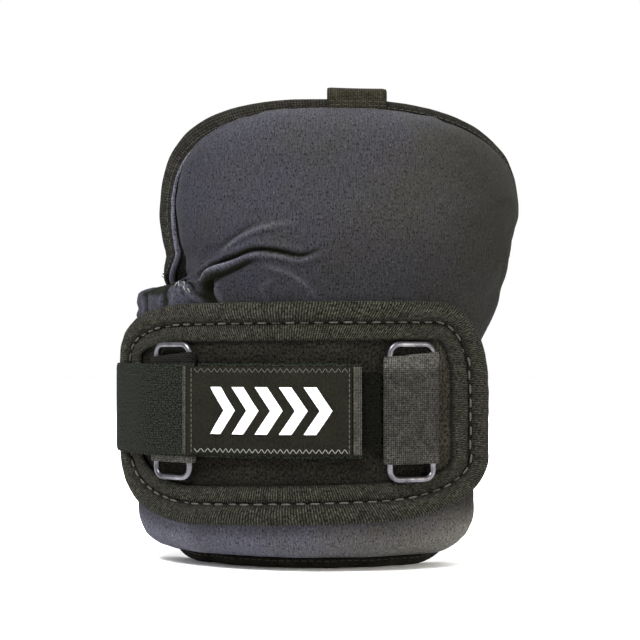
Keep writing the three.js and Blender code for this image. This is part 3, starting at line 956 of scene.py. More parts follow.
@dataclass(frozen=True)
class Thread:
    """Sewing or embroidery thread, twisted, with a soft sheen."""

    name: str
    colour: Triple
    twist: float = 0.5
    roughness: float = 0.55

    def make(self) -> bpy.types.Material:
        """Return the material."""
        graph = Graph(self.name, self.roughness, sheen=0.05)
        strands = graph.weave(self.twist, self.twist * 3.0)
        grain = graph.noise(graph.cloth_point(0.5, 1.5), 1.0, 2.0)
        colour = graph.ramp(grain, [(0.25, tinted(self.colour, 0.72)), (0.75, tinted(self.colour, 1.2))])
        return graph.finish(colour, graph.relief(strands, 0.15, 0.7))


@dataclass(frozen=True)
class BentWire:
    """Dull plated wire with brighter rubbed spots and fine scratches."""

    name: str = "wire"
    colour: Triple = (0.115, 0.112, 0.122)

    def make(self) -> bpy.types.Material:
        """Return the material."""
        graph = Graph(self.name, 0.32, metallic=1.0)
        rub = graph.object_noise(6.0, 4.0)
        scratch = graph.object_noise(0.8, 3.0)
        colour = graph.ramp(rub, [(0.35, tinted(self.colour, 0.45)), (0.65, tinted(self.colour, 1.3))])
        rough = graph.ramp(rub, [(0.3, grey(0.45)), (0.7, grey(0.22))])
        graph.tree.links.new(rough, graph.shader.inputs["Roughness"])
        return graph.finish(colour, graph.relief(scratch, 0.05, 0.4))


class Finish(Enum):
    """The finishes of the pad's pieces."""

    COVER = HeatherCloth()
    LINER = Packcloth("liner_cloth", (0.0045, 0.0045, 0.0038), thread=1.4)
    EDGE_TAPE = Tape("edge_tape", (0.0108, 0.0100, 0.0078), contrast=0.6)
    PANEL_TAPE = Tape("panel_tape", (0.0165, 0.0160, 0.0113), rib=1.05, thread=0.8, relief=0.7,
                      contrast=0.65, grain=0.95, ribbed=True)
    HANGER = Tape("hanger_webbing", (0.0150, 0.0138, 0.0088), rib=0.9, contrast=0.6)
    PANEL_CLOTH = Packcloth("panel_cloth", (0.0070, 0.0064, 0.0048))
    BAND = Tape("webbing", (0.0180, 0.0172, 0.0148), rib=0.85, thread=0.85, relief=0.3,
                contrast=0.6, grain=0.55)
    HEM = Tape("hem_tape", (0.0260, 0.0250, 0.0200), rib=0.9, contrast=0.6)
    ELASTIC = Elastic()
    LABEL = Packcloth("label_weave", (0.0072, 0.0068, 0.0044), thread=0.45, roughness=0.75, mottle=0.3)
    PILE = Packcloth("pile", (0.0085, 0.0085, 0.0060))
    STITCH = Thread("seam_thread", (0.050, 0.047, 0.037))
    EDGE_STITCH = Thread("edge_thread", (0.036, 0.034, 0.027))
    GREY_THREAD = Thread("grey_thread", (0.055, 0.054, 0.046))
    PALE_THREAD = Thread("pale_thread", (0.15, 0.15, 0.138))
    WHITE_THREAD = Thread("white_thread", grey(0.80), twist=0.45)
    WIRE = BentWire()


MADE: dict[Finish, bpy.types.Material] = {}


def material(finish: Finish) -> bpy.types.Material:
    """Return a finish's material, made once."""
    if finish not in MADE:
        MADE[finish] = finish.value.make()
    return MADE[finish]


def dress(piece: Piece, slot: str, *nodes: str) -> Piece:
    """Ride a piece on the body and hide the nodes that it stands for.

    Args:
        piece: the piece.
        slot: the record's material slot; not used.
        nodes: the nodes that it replaces.

    Returns:
        The piece.
    """
    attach(piece, BODY)
    if nodes:
        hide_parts(*nodes)
    return piece


def stitch_row(name: str, centres: Array, along: Array, up: Array, length: float,
               radius: float, finish: Finish) -> Piece:
    """Lay one short thread at each centre: a bead of circles that narrow to both ends.

    Args:
        name: the object's name.
        centres: middles of the stitches in metres, shape (n, 3).
        along: their directions.
        up: the cloth's outward normals there.
        length: a stitch's length in millimetres.
        radius: its radius in millimetres.
        finish: its thread.

    Returns:
        The new object.
    """
    along = unit(along)
    side = unit(np.cross(along, up))
    up = np.cross(side, along)
    places = np.linspace(-1.0, 1.0, 9)
    girth = np.sqrt(np.clip(1.0 - places**4, 0.0, 1.0)) * radius * MM
    sink = -0.6 * radius * MM * places**4
    turn = np.linspace(0.0, math.tau, 9)
    patches = []
    for centre, ahead, aside, above in zip(centres, along, side, up):
        axis = centre + np.outer(places * length / 2.0 * MM, ahead) + np.outer(sink, above)
        ring = np.cos(turn)[:, None] * aside + np.sin(turn)[:, None] * above
        points = axis[:, None] + girth[:, None, None] * ring[None]
        uv = np.stack(np.meshgrid(places * length / 2.0, turn * radius, indexing="ij"), -1)
        patches.append(Patch(points, uv))
    return build(name, patches, material(finish))


def sew(name: str, spots: Array, ahead: Array, depth: Array | float, length: float,
        radius: float, finish: Finish) -> Piece:
    """Lay stitches on the curl, each from its spot towards the place ahead of it.

    Args:
        name: the object's name.
        spots: arcs and heights of their middles, shape (n, 2).
        ahead: arcs and heights of the places that they point to.
        depth: their depths.
        length: a stitch's length in millimetres.
        radius: its radius in millimetres.
        finish: its thread.

    Returns:
        The new object.
    """
    centres = CURL.place(spots[:, 0], spots[:, 1], depth)
    along = CURL.place(ahead[:, 0], ahead[:, 1], depth) - centres
    out = CURL.place(spots[:, 0], spots[:, 1], depth + 1.0) - centres
    return stitch_row(name, centres, along, out / MM, length, radius, finish)


def along_ring(ring: Array, count: int, shift: float = 0.0) -> tuple[Array, Array]:
    """Evenly spaced spots on a closed ring of arcs and heights.

    Args:
        ring: its points, shape (n, 2).
        count: how many spots.
        shift: share of one step to start at.

    Returns:
        The spots and the places just ahead of them.
    """
    closed = np.vstack([ring, ring[:1]])
    gone = gone_along(closed)
    wanted = (np.arange(count) + shift) / count * gone[-1]

    def at(length: Array) -> Array:
        """Spot at a length along the ring."""
        length = np.mod(length, gone[-1])
        return np.stack([np.interp(length, gone, column) for column in closed.T], -1)

    return at(wanted), at(wanted + 0.5)


def matched_rings(rings: list[Array], guide: int, count: int) -> tuple[Array, float]:
    """Resample nested rings together, evenly along one of them.

    Args:
        rings: closed rings with equal numbers of points.
        guide: the ring that sets the spacing.
        count: how many stations come back.

    Returns:
        Spots, shape (count, rings, 2), and the guide's length.
    """
    closed = [np.vstack([ring, ring[:1]]) for ring in rings]
    steps = np.linalg.norm(np.diff(closed[guide], axis=0), axis=1)
    gone = np.concatenate([[0.0], np.cumsum(np.maximum(steps, 1e-6))])
    wanted = np.linspace(0.0, gone[-1], count, endpoint=False)
    spots = [np.stack([np.interp(wanted, gone, column) for column in ring.T], -1) for ring in closed]
    return np.stack(spots, 1), float(gone[-1])


@dataclass(frozen=True)
class Fold:
    """A crease along a line on the pad: a groove between two lips, with painted shade in the groove and
    painted highlights on the lips.
    """

    path: tuple[Span, ...]
    groove: float
    left_width: float
    right_width: float
    right_lip: float = 0.0
    left_lip: float = 0.0
    # How much painted shade lies in the groove.
    dark: float = 0.0
    fade_in: float = 0.25
    ends_at_once: bool = False

    def press(self, arc: Array, height: Array) -> tuple[Array, Array, Array]:
        """Height change in millimetres, painted shade and painted highlight: minus a bell on the line, plus
        one on each side.

        Args:
            arc: arcs of the spots.
            height: heights of the spots.

        Returns:
            The change, how much painted shade darkens the cloth and how much painted highlight brightens it,
            fading out towards the ends of the line.
        """
        line = spline(np.array(self.path), 40)
        distance, side, along, _ = line_distance(arc, height, line)
        start = smoothstep(along, 0.0, self.fade_in)
        end = 1.0 if self.ends_at_once else 1.0 - smoothstep(along, 0.6, 1.0)
        width = np.where(side > 0.0, self.left_width, self.right_width)
        beyond = np.exp(-np.maximum(distance - np.abs(side), 0.0) ** 2 / self.left_width**2) * start * end
        bell = np.exp(-((distance / width) ** 2)) * start * end
        right_at, left_at = 2.2 * self.right_width, 2.4 * self.left_width
        right = np.exp(-(((side + right_at) / (1.2 * self.right_width)) ** 2)) * beyond
        left = np.exp(-(((side - left_at) / (1.8 * self.left_width)) ** 2)) * beyond
        change = self.right_lip * right + self.left_lip * left - self.groove * bell
        # Painted highlight on the lips and on raised lines.
        pale = 0.2 * (self.right_lip * right + max(-self.groove, 0.0) * bell) + 0.05 * self.left_lip * left
        return change, self.dark * bell, pale


@dataclass
class PadCover:
    """The foam pad in its charcoal cover."""

    dome_thickness: float = 24.0
    rim: float = 2.5
    cuff_edge: float = 11.0
    lobe_edge: float = 6.5
    lobe_margin: float = 2.2
    # Strength of the painted highlight along the rim.
    rim_highlight: float = 0.3
    dome_edge: float = 54.0
    firm_edge: float = 13.0
    softness: float = 0.5
    soft_arcs: Span = (15.0, 80.0)
    top_arcs: tuple[float, float, float, float] = (-45.0, -10.0, 20.0, 84.0)
    bulge: float = 2.4
    bulge_reach: float = 14.0
    left_margin: float = 5.5
    gap_rest: float = 1.8
    gap_open: float = 11.0
    gap_reach: float = 10.0
    gap_end: Span = (162.0, 182.0)
    step_blend: float = 30.0
    step_share: float = 0.25
    lobe_height: float = 12.0
    gather: Span = (-50.0, 120.0)
    lobe_rise: Span = (92.0, 108.0)
    lobe_arcs: Span = (-46.0, -40.0)
    rows: int = 82
    columns: int = 68
    finer: int = 3
    pressure: float = 4.0
    stiffness: float = 12.0
    bending: float = 0.6
    shrink: float = -0.02
    frames: int = 20
    cap: float = 1.0
    held_rim: float = 9.0
    folds: tuple[Fold, ...] = field(default_factory=lambda: (
        Fold(((-40.2, 119.0), (-38.4, 122.3), (-33.6, 125.6), (-27.5, 128.7), (-20.9, 131.3), (-11.7, 129.9),
              (-6.5, 128.4), (-3.1, 129.4), (0.6, 131.3), (5.0, 132.5)), 2.4, 0.9, 0.85, 2.0, 1.4, 1.8,
             fade_in=0.1),
        Fold(((-37.0, 117.8), (-33.0, 121.0), (-29.2, 122.7), (-26.6, 124.1), (-22.5, 126.6), (-18.0, 127.4)),
             1.7, 0.9, 1.3, 0.0, 0.8, 1.8, fade_in=0.2),
        Fold(((-35.0, 129.0), (-27.2, 135.3), (-22.0, 138.4), (-16.8, 139.9), (-10.9, 141.0), (-4.0, 141.0)),
             -1.4, 1.1, 1.1),
        Fold(((-39.6, 117.6), (-38.0, 119.4), (-36.2, 121.3), (-34.0, 122.9), (-29.7, 124.8), (-26.4, 126.5)),
             -2.0, 1.0, 1.0, fade_in=0.15),
        Fold(((-34.5, 131.5), (-27.0, 137.3), (-22.0, 140.3), (-16.8, 141.6)), 0.9, 0.8, 0.8, dark=0.5),
        Fold(((-19.0, 125.5), (-11.0, 121.8), (-6.9, 119.0), (-3.0, 114.5), (-0.5, 110.0)), -1.0, 0.8, 0.8),
        Fold(((-12.5, 118.0), (-15.5, 114.5), (-13.5, 109.0)), 0.5, 0.9, 0.9, 0.4, 0.3, 0.2),
        Fold(((-30.5, 105.0), (-33.2, 110.5), (-34.7, 114.0), (-34.6, 117.6)), 3.6, 2.4, 0.7,
             1.3, 0.0, 2.2, fade_in=0.04, ends_at_once=True),
        Fold(((-32.0, 108.0), (-35.4, 112.0), (-36.0, 115.0), (-35.4, 117.5), (-33.0, 119.6)), 0.2, 2.2, 1.0,
             dark=1.6, fade_in=0.06, ends_at_once=True),
        Fold(((-46.0, 119.5), (-42.8, 116.1), (-41.1, 114.0), (-38.2, 112.2), (-35.0, 109.5)), 1.4, 0.8, 0.8,
             0.8, 0.8, 0.75, fade_in=0.1, ends_at_once=True),
        Fold(((-68.0, 118.0), (-67.0, 112.0), (-64.5, 104.0)), 1.4, 1.0, 1.0, 0.7, 0.7, 1.2,
             ends_at_once=True),
        Fold(((-53.6, 118.0), (-54.8, 113.0), (-54.0, 106.5)), 1.9, 1.0, 1.0, 0.9, 0.7, 1.7, fade_in=0.1),
    ))

    def dome_share(self, arc: Array, height: Array) -> Array:
        """Share of the dome's soft edge: whole just above the notch on the left, higher on the right."""
        left = smoothstep(height, OUTLINE.notch, OUTLINE.notch + self.lobe_height)
        right = smoothstep(height, OUTLINE.notch + 1.0, OUTLINE.shoulder + 2.0)
        return lerp(left, right, smoothstep(arc, -OUTLINE.cuff_right, OUTLINE.cuff_right))

    def edges(self, height: Array) -> tuple[Array, Array, Array]:
        """Left edge of the pad with its step at the notch, the same edge blended, and the right edge.

        Args:
            height: heights of the spots.

        Returns:
            The left edge, the blended left edge and the right edge.
        """
        left, right = OUTLINE.edges(height, LAYERS.pad_inset)
        narrowed = smoothstep(height, OUTLINE.notch, (OUTLINE.notch + OUTLINE.shoulder) / 2.0)
        over_notch = np.maximum(height - OUTLINE.notch, 0.0)
        gap = self.gap_rest + self.gap_open * np.exp(-over_notch / self.gap_reach)
        gap = gap * (1.0 - smoothstep(height, *self.gap_end))
        step = (OUTLINE.cuff_left - OUTLINE.dome_left) * (1.0 - narrowed) + self.left_margin + gap
        above = smoothstep(height, OUTLINE.notch - OUTLINE.step_rise, OUTLINE.notch + OUTLINE.step_rise)
        blend = smoothstep(height, OUTLINE.notch - self.step_blend, OUTLINE.notch + self.step_blend)
        lobe = self.lobe_margin * smoothstep(height, *self.lobe_rise) * (1.0 - above)
        return left + step * above + lobe, left + step * blend, right

    def grid(self, rows: int, columns: int) -> tuple[Array, Array, Array]:
        """Arc, height and thickness over the pad: a rounded steep edge below, a soft dome above.

        Args:
            rows: rows up the pad.
            columns: columns across it.

        Returns:
            Three arrays of shape (rows, columns).
        """
        corner = rows // 8
        dome = rows // 4
        heights = OUTLINE.heights(LAYERS.pad_inset, corner, rows - corner - dome - 1, dome)
        left, blended, right = self.edges(heights)
        share = np.linspace(0.0, 1.0, columns)
        share = lerp(share, 0.5 - 0.5 * np.cos(math.pi * share), 0.6)
        near = np.maximum(1.0 - share / self.step_share, 0.0) ** 2
        arc = blended[:, None] + (right - blended)[:, None] * share + (left - blended)[:, None] * near
        height = np.broadcast_to(heights[:, None], arc.shape).copy()
        rim = np.concatenate([np.stack([right, heights], -1), np.stack([left, heights], -1)[::-1]])
        rim = np.vstack([rim, rim[:1]])
        distance, _, _, away = line_distance(arc, height, rim)
        share_dome = self.dome_share(arc, height)
        full = lerp(LAYERS.cuff, self.dome_thickness, smoothstep(height, CURL.flare_start, CURL.flare_end))
        on_lobe = smoothstep(height, *self.lobe_rise) * (height < OUTLINE.notch + 1.0)
        edge = lerp(self.cuff_edge, self.lobe_edge, on_lobe * (1.0 - smoothstep(arc, -40.0, -10.0)))
        steep = np.sqrt(1.0 - (1.0 - np.minimum(distance / edge, 1.0)) ** 2)
        firm = np.sin(math.pi / 2.0 * np.minimum(distance / self.firm_edge, 1.0))
        soft = np.sin(math.pi / 2.0 * np.minimum(distance / self.dome_edge, 1.0))
        dome = lerp(firm, soft, lerp(self.softness, 1.0, smoothstep(arc, *self.soft_arcs)))
        thickness = self.rim + (full - self.rim) * lerp(steep, dome, share_dome)
        over_top = smoothstep(arc, *self.top_arcs[:2]) * (1.0 - smoothstep(arc, *self.top_arcs[2:]))
        out = self.bulge * np.sin(math.pi * np.clip(distance / self.bulge_reach, 0.0, 1.0) ** 0.6) * over_top
        out = out * smoothstep(height, OUTLINE.shoulder, OUTLINE.shoulder + 20.0)
        return arc - away[..., 0] * out, height - away[..., 1] * out, thickness

    def swell(self, outer: Array, inner: Array) -> Array:
        """Blow the cover up a little with the cloth solver and return its moved front.

        Args:
            outer: the front grid in metres.
            inner: the back grid in metres.

        Returns:
            The front grid after the frames, no spot further than the cap from where it was.
        """
        rows, columns = outer.shape[:2]
        uv = np.zeros((rows, columns, 2))
        work = build("cover_in_work", shell(outer, inner, uv), material(Finish.COVER))
        mesh = work.data
        start = np.empty(len(mesh.vertices) * 3)
        mesh.vertices.foreach_get("co", start)
        start = start.reshape(-1, 3)
        flat = outer.reshape(-1, 3)
        keys = {tuple(spot): number for number, spot in enumerate(np.round(start * 1e6).astype(int).tolist())}
        numbers = np.array([keys.get(tuple(spot), -1) for spot in np.round(
            flat.astype(np.float32).astype(float) * 1e6).astype(int).tolist()])
        inside = np.zeros((rows, columns), bool)
        inside[2:-2, 2:-2] = True
        loose = numbers[inside.ravel() & (numbers >= 0)]
        pinned = np.setdiff1d(np.arange(len(start)), loose)
        group = work.vertex_groups.new(name="sewn")
        group.add([int(number) for number in pinned], 1.0, "REPLACE")
        solver = work.modifiers.new("cover", "CLOTH")
        solver.settings.quality = 4
        solver.settings.mass = 0.2
        solver.settings.tension_stiffness = self.stiffness
        solver.settings.compression_stiffness = self.stiffness
        solver.settings.bending_stiffness = self.bending
        solver.settings.vertex_group_mass = "sewn"
        solver.settings.use_pressure = True
        solver.settings.uniform_pressure_force = self.pressure
        solver.settings.shrink_min = self.shrink
        solver.settings.effector_weights.gravity = 0.0
        solver.collision_settings.use_collision = False
        scene = bpy.context.scene
        scene.frame_start, scene.frame_end = 1, self.frames
        for number in range(1, self.frames + 1):
            scene.frame_set(number)
        result = work.evaluated_get(bpy.context.evaluated_depsgraph_get())
        moved = np.empty(len(result.data.vertices) * 3)
        result.data.vertices.foreach_get("co", moved)
        shift = moved.reshape(-1, 3) - start
        size = np.linalg.norm(shift, axis=1, keepdims=True)
        shift *= np.minimum(1.0, self.cap * MM / np.maximum(size, 1e-9))
        scene.frame_set(1)
        bpy.data.objects.remove(work)
        bpy.data.meshes.remove(mesh)
        grid = np.zeros_like(flat)
        known = numbers >= 0
        grid[known] = shift[numbers[known]]
        grid = grid.reshape(outer.shape) * smoothstep(depth_in(rows, columns), 1.0, self.held_rim)[..., None]
        LOG.info("cover swelled by up to %.2f mm", float(np.linalg.norm(grid, axis=-1).max() / MM))
        return outer + grid

    def refine(self, grid: Array) -> Array:
        """Catmull-Rom refinement of a grid, the same number of times finer each way.

        Args:
            grid: values, shape (rows, columns, k).

        Returns:
            The finer grid.
        """
        for axis in (0, 1):
            grid = np.moveaxis(grid, axis, 0)
            count = grid.shape[0]
            wanted = np.linspace(0.0, count - 1.0, (count - 1) * self.finer + 1)
            base = np.minimum(wanted.astype(int), count - 2)
            share = (wanted - base)[:, None, None]
            p0, p1 = grid[np.maximum(base - 1, 0)], grid[base]
            p2, p3 = grid[base + 1], grid[np.minimum(base + 2, count - 1)]
            grid = 0.5 * (2.0 * p1 + (p2 - p0) * share + (2.0 * p0 - 5.0 * p1 + 4.0 * p2 - p3) * share**2
                          + (3.0 * p1 - p0 - 3.0 * p2 + p3) * share**3)
            grid = np.moveaxis(grid, 0, axis)
        return grid

    def gathers(self, arc: Array, height: Array) -> Array:
        """Small pleats that fan out below the notch: waves round it that fade with distance.

        Args:
            arc: arcs of the spots.
            height: heights of the spots.

        Returns:
            The change in millimetres.
        """
        off_arc, off_height = arc - self.gather[0], height - self.gather[1]
        distance = np.hypot(off_arc, off_height)
        turn = np.arctan2(off_height, off_arc)
        below = 1.0 - smoothstep(height, self.gather[1] - 3.0, self.gather[1])
        near = smoothstep(distance, 1.0, 4.0) * np.exp(-((distance / 9.0) ** 2))
        pleats = 1.9 * np.cos(9.0 * turn + 0.6) * near
        crumple = 0.45 * ripples(arc, height, 6.5, 23) * (1.0 - smoothstep(arc, *self.lobe_arcs))
        return (pleats + crumple) * below * smoothstep(height, 98.0, 106.0)

    def tone(self, arc: Array, height: Array) -> Array:
        """Painted light on the cloth: most at the top and low on the cuff, least above the panel.

        Args:
            arc: arcs of the spots.
            height: heights of the spots.

        Returns:
            How much painted light brightens the cloth, 0 to 1.
        """
        middle = smoothstep(height, 116.0, 150.0) * (1.0 - smoothstep(arc, 25.0, 75.0))
        aside = smoothstep(-arc, 25.0, 60.0)
        top = smoothstep(height, 165.0, 193.0)
        low = 1.0 - smoothstep(height, 13.0, 30.0)
        lobe = (1.0 - smoothstep(arc, *self.lobe_arcs)) * (1.0 - smoothstep(height, 118.0, 120.0))
        lobe = lobe * (1.0 + 0.9 * smoothstep(arc, -55.0, -52.0))
        cuff = (0.46 + 0.5 * smoothstep(arc, 20.0, 60.0)) * low
        return 0.015 + 0.12 * lobe + (0.085 - 0.065 * aside) * middle + 0.11 * top + cuff

    def make_tack(self, outer: Array, arc: Array, height: Array) -> Piece:
        """Pale stitches that gather the cloth in the notch, each laid on the nearest spot of the cover.

        Args:
            outer: the cover's finished front.
            arc: its arcs.
            height: its heights.

        Returns:
            The new object.
        """
        spots = np.array([(-51.7, 117.0), (-50.2, 117.4), (-48.7, 117.6), (-47.2, 117.6), (-45.7, 117.2),
                          (-44.5, 116.2), (-43.5, 114.8)])
        normal = grid_normals(outer, False)
        gap = (arc[..., None] - spots[:, 0]) ** 2 + (height[..., None] - spots[:, 1]) ** 2
        near = [np.unravel_index(number, arc.shape) for number in gap.reshape(-1, len(spots)).argmin(0)]
        centres = np.array([outer[spot] for spot in near])
        out = np.array([normal[spot] for spot in near])
        out *= np.sign(-out[:, 1:2])
        lean = np.linspace(-0.5, 0.6, len(spots))
        along = np.stack([lean, np.zeros_like(lean), -np.ones_like(lean)], -1)
        return dress(stitch_row("notch_stitches", centres + out * 0.3 * MM, along, out, 2.3, 0.3,
                                Finish.PALE_THREAD), "cover_cloth")

    def make(self) -> Piece:
        """Build the cover, sewn flat at its rim, and dress it."""
        arc, height, thickness = self.grid(self.rows, self.columns)
        outer = CURL.place(arc, height, LAYERS.pad_inner + thickness)
        inner = CURL.place(arc, height, LAYERS.pad_inner)
        outer = self.swell(outer, inner)
        outer, inner = self.refine(outer), self.refine(inner)
        spots = self.refine(np.stack([arc, height], -1))
        fine_arc, fine_height = spots[..., 0], spots[..., 1]
        edge = depth_in(*fine_arc.shape)
        creased = [fold.press(fine_arc, fine_height) for fold in self.folds]
        press, dark, pale = (sum(parts) for parts in zip(*creased))
        # Painted shade in a band on the lobe under the step and low on the right side, painted highlight
        # along the rim, added to the folds' painted shade and highlights.
        over_lobe = smoothstep(fine_arc, -76.0, -70.0) * (1.0 - smoothstep(fine_arc, -55.5, -53.5))
        under_step = np.exp(-(((fine_height - 116.0) / 2.3) ** 2)) * (fine_height < OUTLINE.notch)
        aside = smoothstep(fine_arc, 35.0, 75.0) * smoothstep(fine_height, 40.0, 60.0)
        dark = np.clip(dark + 1.7 * over_lobe * under_step + 0.3 * aside, 0.0, 0.95)
        rim = np.exp(-((edge / 4.0) ** 2)) * smoothstep(fine_height, 119.0, 124.0) * (1.0 - 0.8 * aside)
        pale = np.clip(pale + self.tone(fine_arc, fine_height) + self.rim_highlight * rim, 0.0, 1.0)
        press = press + self.gathers(fine_arc, fine_height)
        wave = 0.28 * ripples(fine_arc, fine_height, 24.0, 3) + 0.10 * ripples(fine_arc, fine_height, 7.0, 4)
        press = press + wave * (1.0 - 0.8 * smoothstep(fine_arc, 40.0, 75.0))
        press = press * smoothstep(edge, 0.0, 8.0)
        normal = grid_normals(outer, False)
        outward = np.sign(np.sum(normal * (outer - inner), axis=-1, keepdims=True))
        outer = outer + normal * outward * (press * MM)[..., None]
        uv = CURL.cloth_uv(fine_arc, fine_height, LAYERS.cuff_outer)
        light_and_shade = np.stack([dark, pale], -1)
        cover = build("pad_cover", shell(outer, inner, uv, light_and_shade=light_and_shade), material(Finish.COVER))
        self.make_tack(outer, fine_arc, fine_height)
        return dress(cover, "cover_cloth", "pad_body")


@dataclass
class BoundLiner:
    """The thin liner, the tape folded over its edge and the tape's stitches."""

    leg: float = 4.2
    wide_leg: float = 8.2
    crumple: float = 0.9
    strip_heights: Span = (119.6, 181.0)
    strip_width: float = 1.4
    strip_flare: float = 5.0
    strip_reach: float = 12.0

    def waves(self, arc: Array, height: Array) -> Array:
        """Depth of the lower edge's waves, with two pleats, fading out above it."""
        low = 1.0 - smoothstep(height, 3.0, 16.0)
        pleats = np.exp(-((arc + 49.0) / 3.0) ** 2) + np.exp(-((arc - 32.0) / 2.5) ** 2)
        return low * self.crumple * (0.6 * ripples(arc, arc * 0.0, 16.0, 7) - 0.8 * pleats)

    def ring(self, inset: float) -> Array:
        """Outline ring whose inset grows on the left of the dome, where the tape is wider."""
        narrow = OUTLINE.ring(inset)
        wide = OUTLINE.ring(inset + (self.wide_leg - self.leg) * max(inset - LAYERS.tape, 0.0)
                            / (self.leg - LAYERS.tape))
        share = smoothstep(-narrow[:, 0], -25.0, 45.0) * smoothstep(narrow[:, 1], 119.5, 128.0)
        return lerp(narrow, wide, share[:, None])

    def make_strip(self) -> Piece:
        """Fold of cover cloth along the tape's inner edge, wide at the notch: a low ridge, sine across."""
        height = np.linspace(*self.strip_heights, 90)[:, None]
        left, _ = OUTLINE.edges(height, self.wide_leg - 0.4)
        width = self.strip_width + self.strip_flare * np.exp(-(height - OUTLINE.notch) / self.strip_reach)
        across = np.linspace(0.0, 1.0, 12)[None]
        arc = left + width * across
        wave = 0.1 * ripples(height, height * 0.0, 9.0, 15)
        ridge = (1.2 + wave) * np.sin(math.pi * across) ** 0.8 * np.minimum(width / 2.5, 1.0)
        middle = CURL.place(arc, height, LAYERS.backing + 0.5 + ridge)
        uv = CURL.cloth_uv(arc, height, LAYERS.backing)
        # Painted shade towards its edge by the gap and painted light over the whole strip.
        light_and_shade = paired(0.8 * across**3, 0.8 + 0.0 * height)
        strip = build("cover_strip", cloth(middle, uv, 0.7, light_and_shade=light_and_shade), material(Finish.COVER))
        return dress(strip, "cover_cloth")

    def make_frays(self) -> Piece:
        """Loose threads at the cut end of the tape in the notch, in seeded directions."""
        draw = np.random.default_rng(19)
        count = 24
        height = OUTLINE.notch + draw.uniform(-0.2, 5.5, count)
        left, _ = OUTLINE.edges(height, 0.0)
        arc = left + draw.uniform(1.0, 7.0, count)
        centres = CURL.place(arc, height, LAYERS.backing + draw.uniform(0.8, 2.6, count))
        lean = CURL.place(arc + draw.normal(0.3, 0.8, count), height + draw.normal(-1.0, 0.8, count),
                          LAYERS.backing + 1.7) - centres
        out = CURL.place(arc, height, 9.0) - centres
        frays = stitch_row("frayed_threads", centres, lean, out / MM, 1.9, 0.17, Finish.EDGE_TAPE)
        return dress(frays, "dark_tape")

    def make_liner(self) -> Piece:
        """Thin shell between depth 0 and the backing's thickness, a little uneven inside."""
        heights = OUTLINE.heights(LAYERS.backing_inset, 10, 50, 22)
        left, right = OUTLINE.edges(heights, LAYERS.backing_inset)
        arc = left[:, None] + (right - left)[:, None] * np.linspace(0.0, 1.0, 90)
        height = np.broadcast_to(heights[:, None], arc.shape)
        wave = self.waves(arc, height)
        quilt = 0.25 * ripples(arc, height, 22.0, 11)
        inner = CURL.place(arc, height, wave * 0.8 + np.abs(quilt) * 0.6)
        outer = CURL.place(arc, height, LAYERS.backing + wave * 0.8)
        liner = build("liner", shell(outer, inner, CURL.cloth_uv(arc, height, 0.0)), material(Finish.LINER))
        return dress(liner, "liner_cloth", "backing")

    def make_tape(self) -> Piece:
        """Tape round the edge: two legs joined by a half circle, carried along the outline."""
        low = -LAYERS.slot_gap - LAYERS.tape / 2.0
        high = LAYERS.backing + LAYERS.slot_gap + LAYERS.tape / 2.0
        centre, bend = (low + high) / 2.0, (high - low) / 2.0
        turn = np.linspace(math.pi / 2.0, -math.pi / 2.0, 9)
        fold_inset = LAYERS.tape / 2.0 + bend * (1.0 - np.cos(turn))
        fold_depth = centre + bend * np.sin(turn)
        leg = np.linspace(self.leg, fold_inset[0], 4)[:-1]
        insets = np.concatenate([leg, fold_inset, leg[::-1]])
        depths = np.concatenate([np.full(3, high), fold_depth, np.full(3, low)])
        spots, length = matched_rings([self.ring(inset) for inset in insets], 0, 520)
        arc, height = spots[..., 0], spots[..., 1]
        shares = np.linspace(0.0, 1.0, 520, endpoint=False) * length
        puff = 0.18 * ripples(shares[:, None], insets[None] * 2.0, 13.0, 5)
        middle = CURL.place(arc, height, depths + self.waves(arc, height) + puff * (depths > centre))
        reach = gone_along(np.stack([insets, depths], -1))
        uv = paired(shares[:, None], reach[None])
        patches = cloth(middle, uv, LAYERS.tape, wrap=True, period=length)
        return dress(build("edge_tape", patches, material(Finish.EDGE_TAPE)), "dark_tape", "edge_binding")

    def make_seam(self) -> Piece:
        """Stitches along the tape's free edge, one after another."""
        ring = self.ring(self.leg - 1.0)
        spots, ahead = along_ring(ring, 215)
        depth = LAYERS.backing + LAYERS.slot_gap + LAYERS.tape + 0.05
        depths = depth + self.waves(spots[:, 0], spots[:, 1])
        return dress(sew("edge_seam", spots, ahead, depths, 2.5, 0.22, Finish.EDGE_STITCH), "dark_tape")


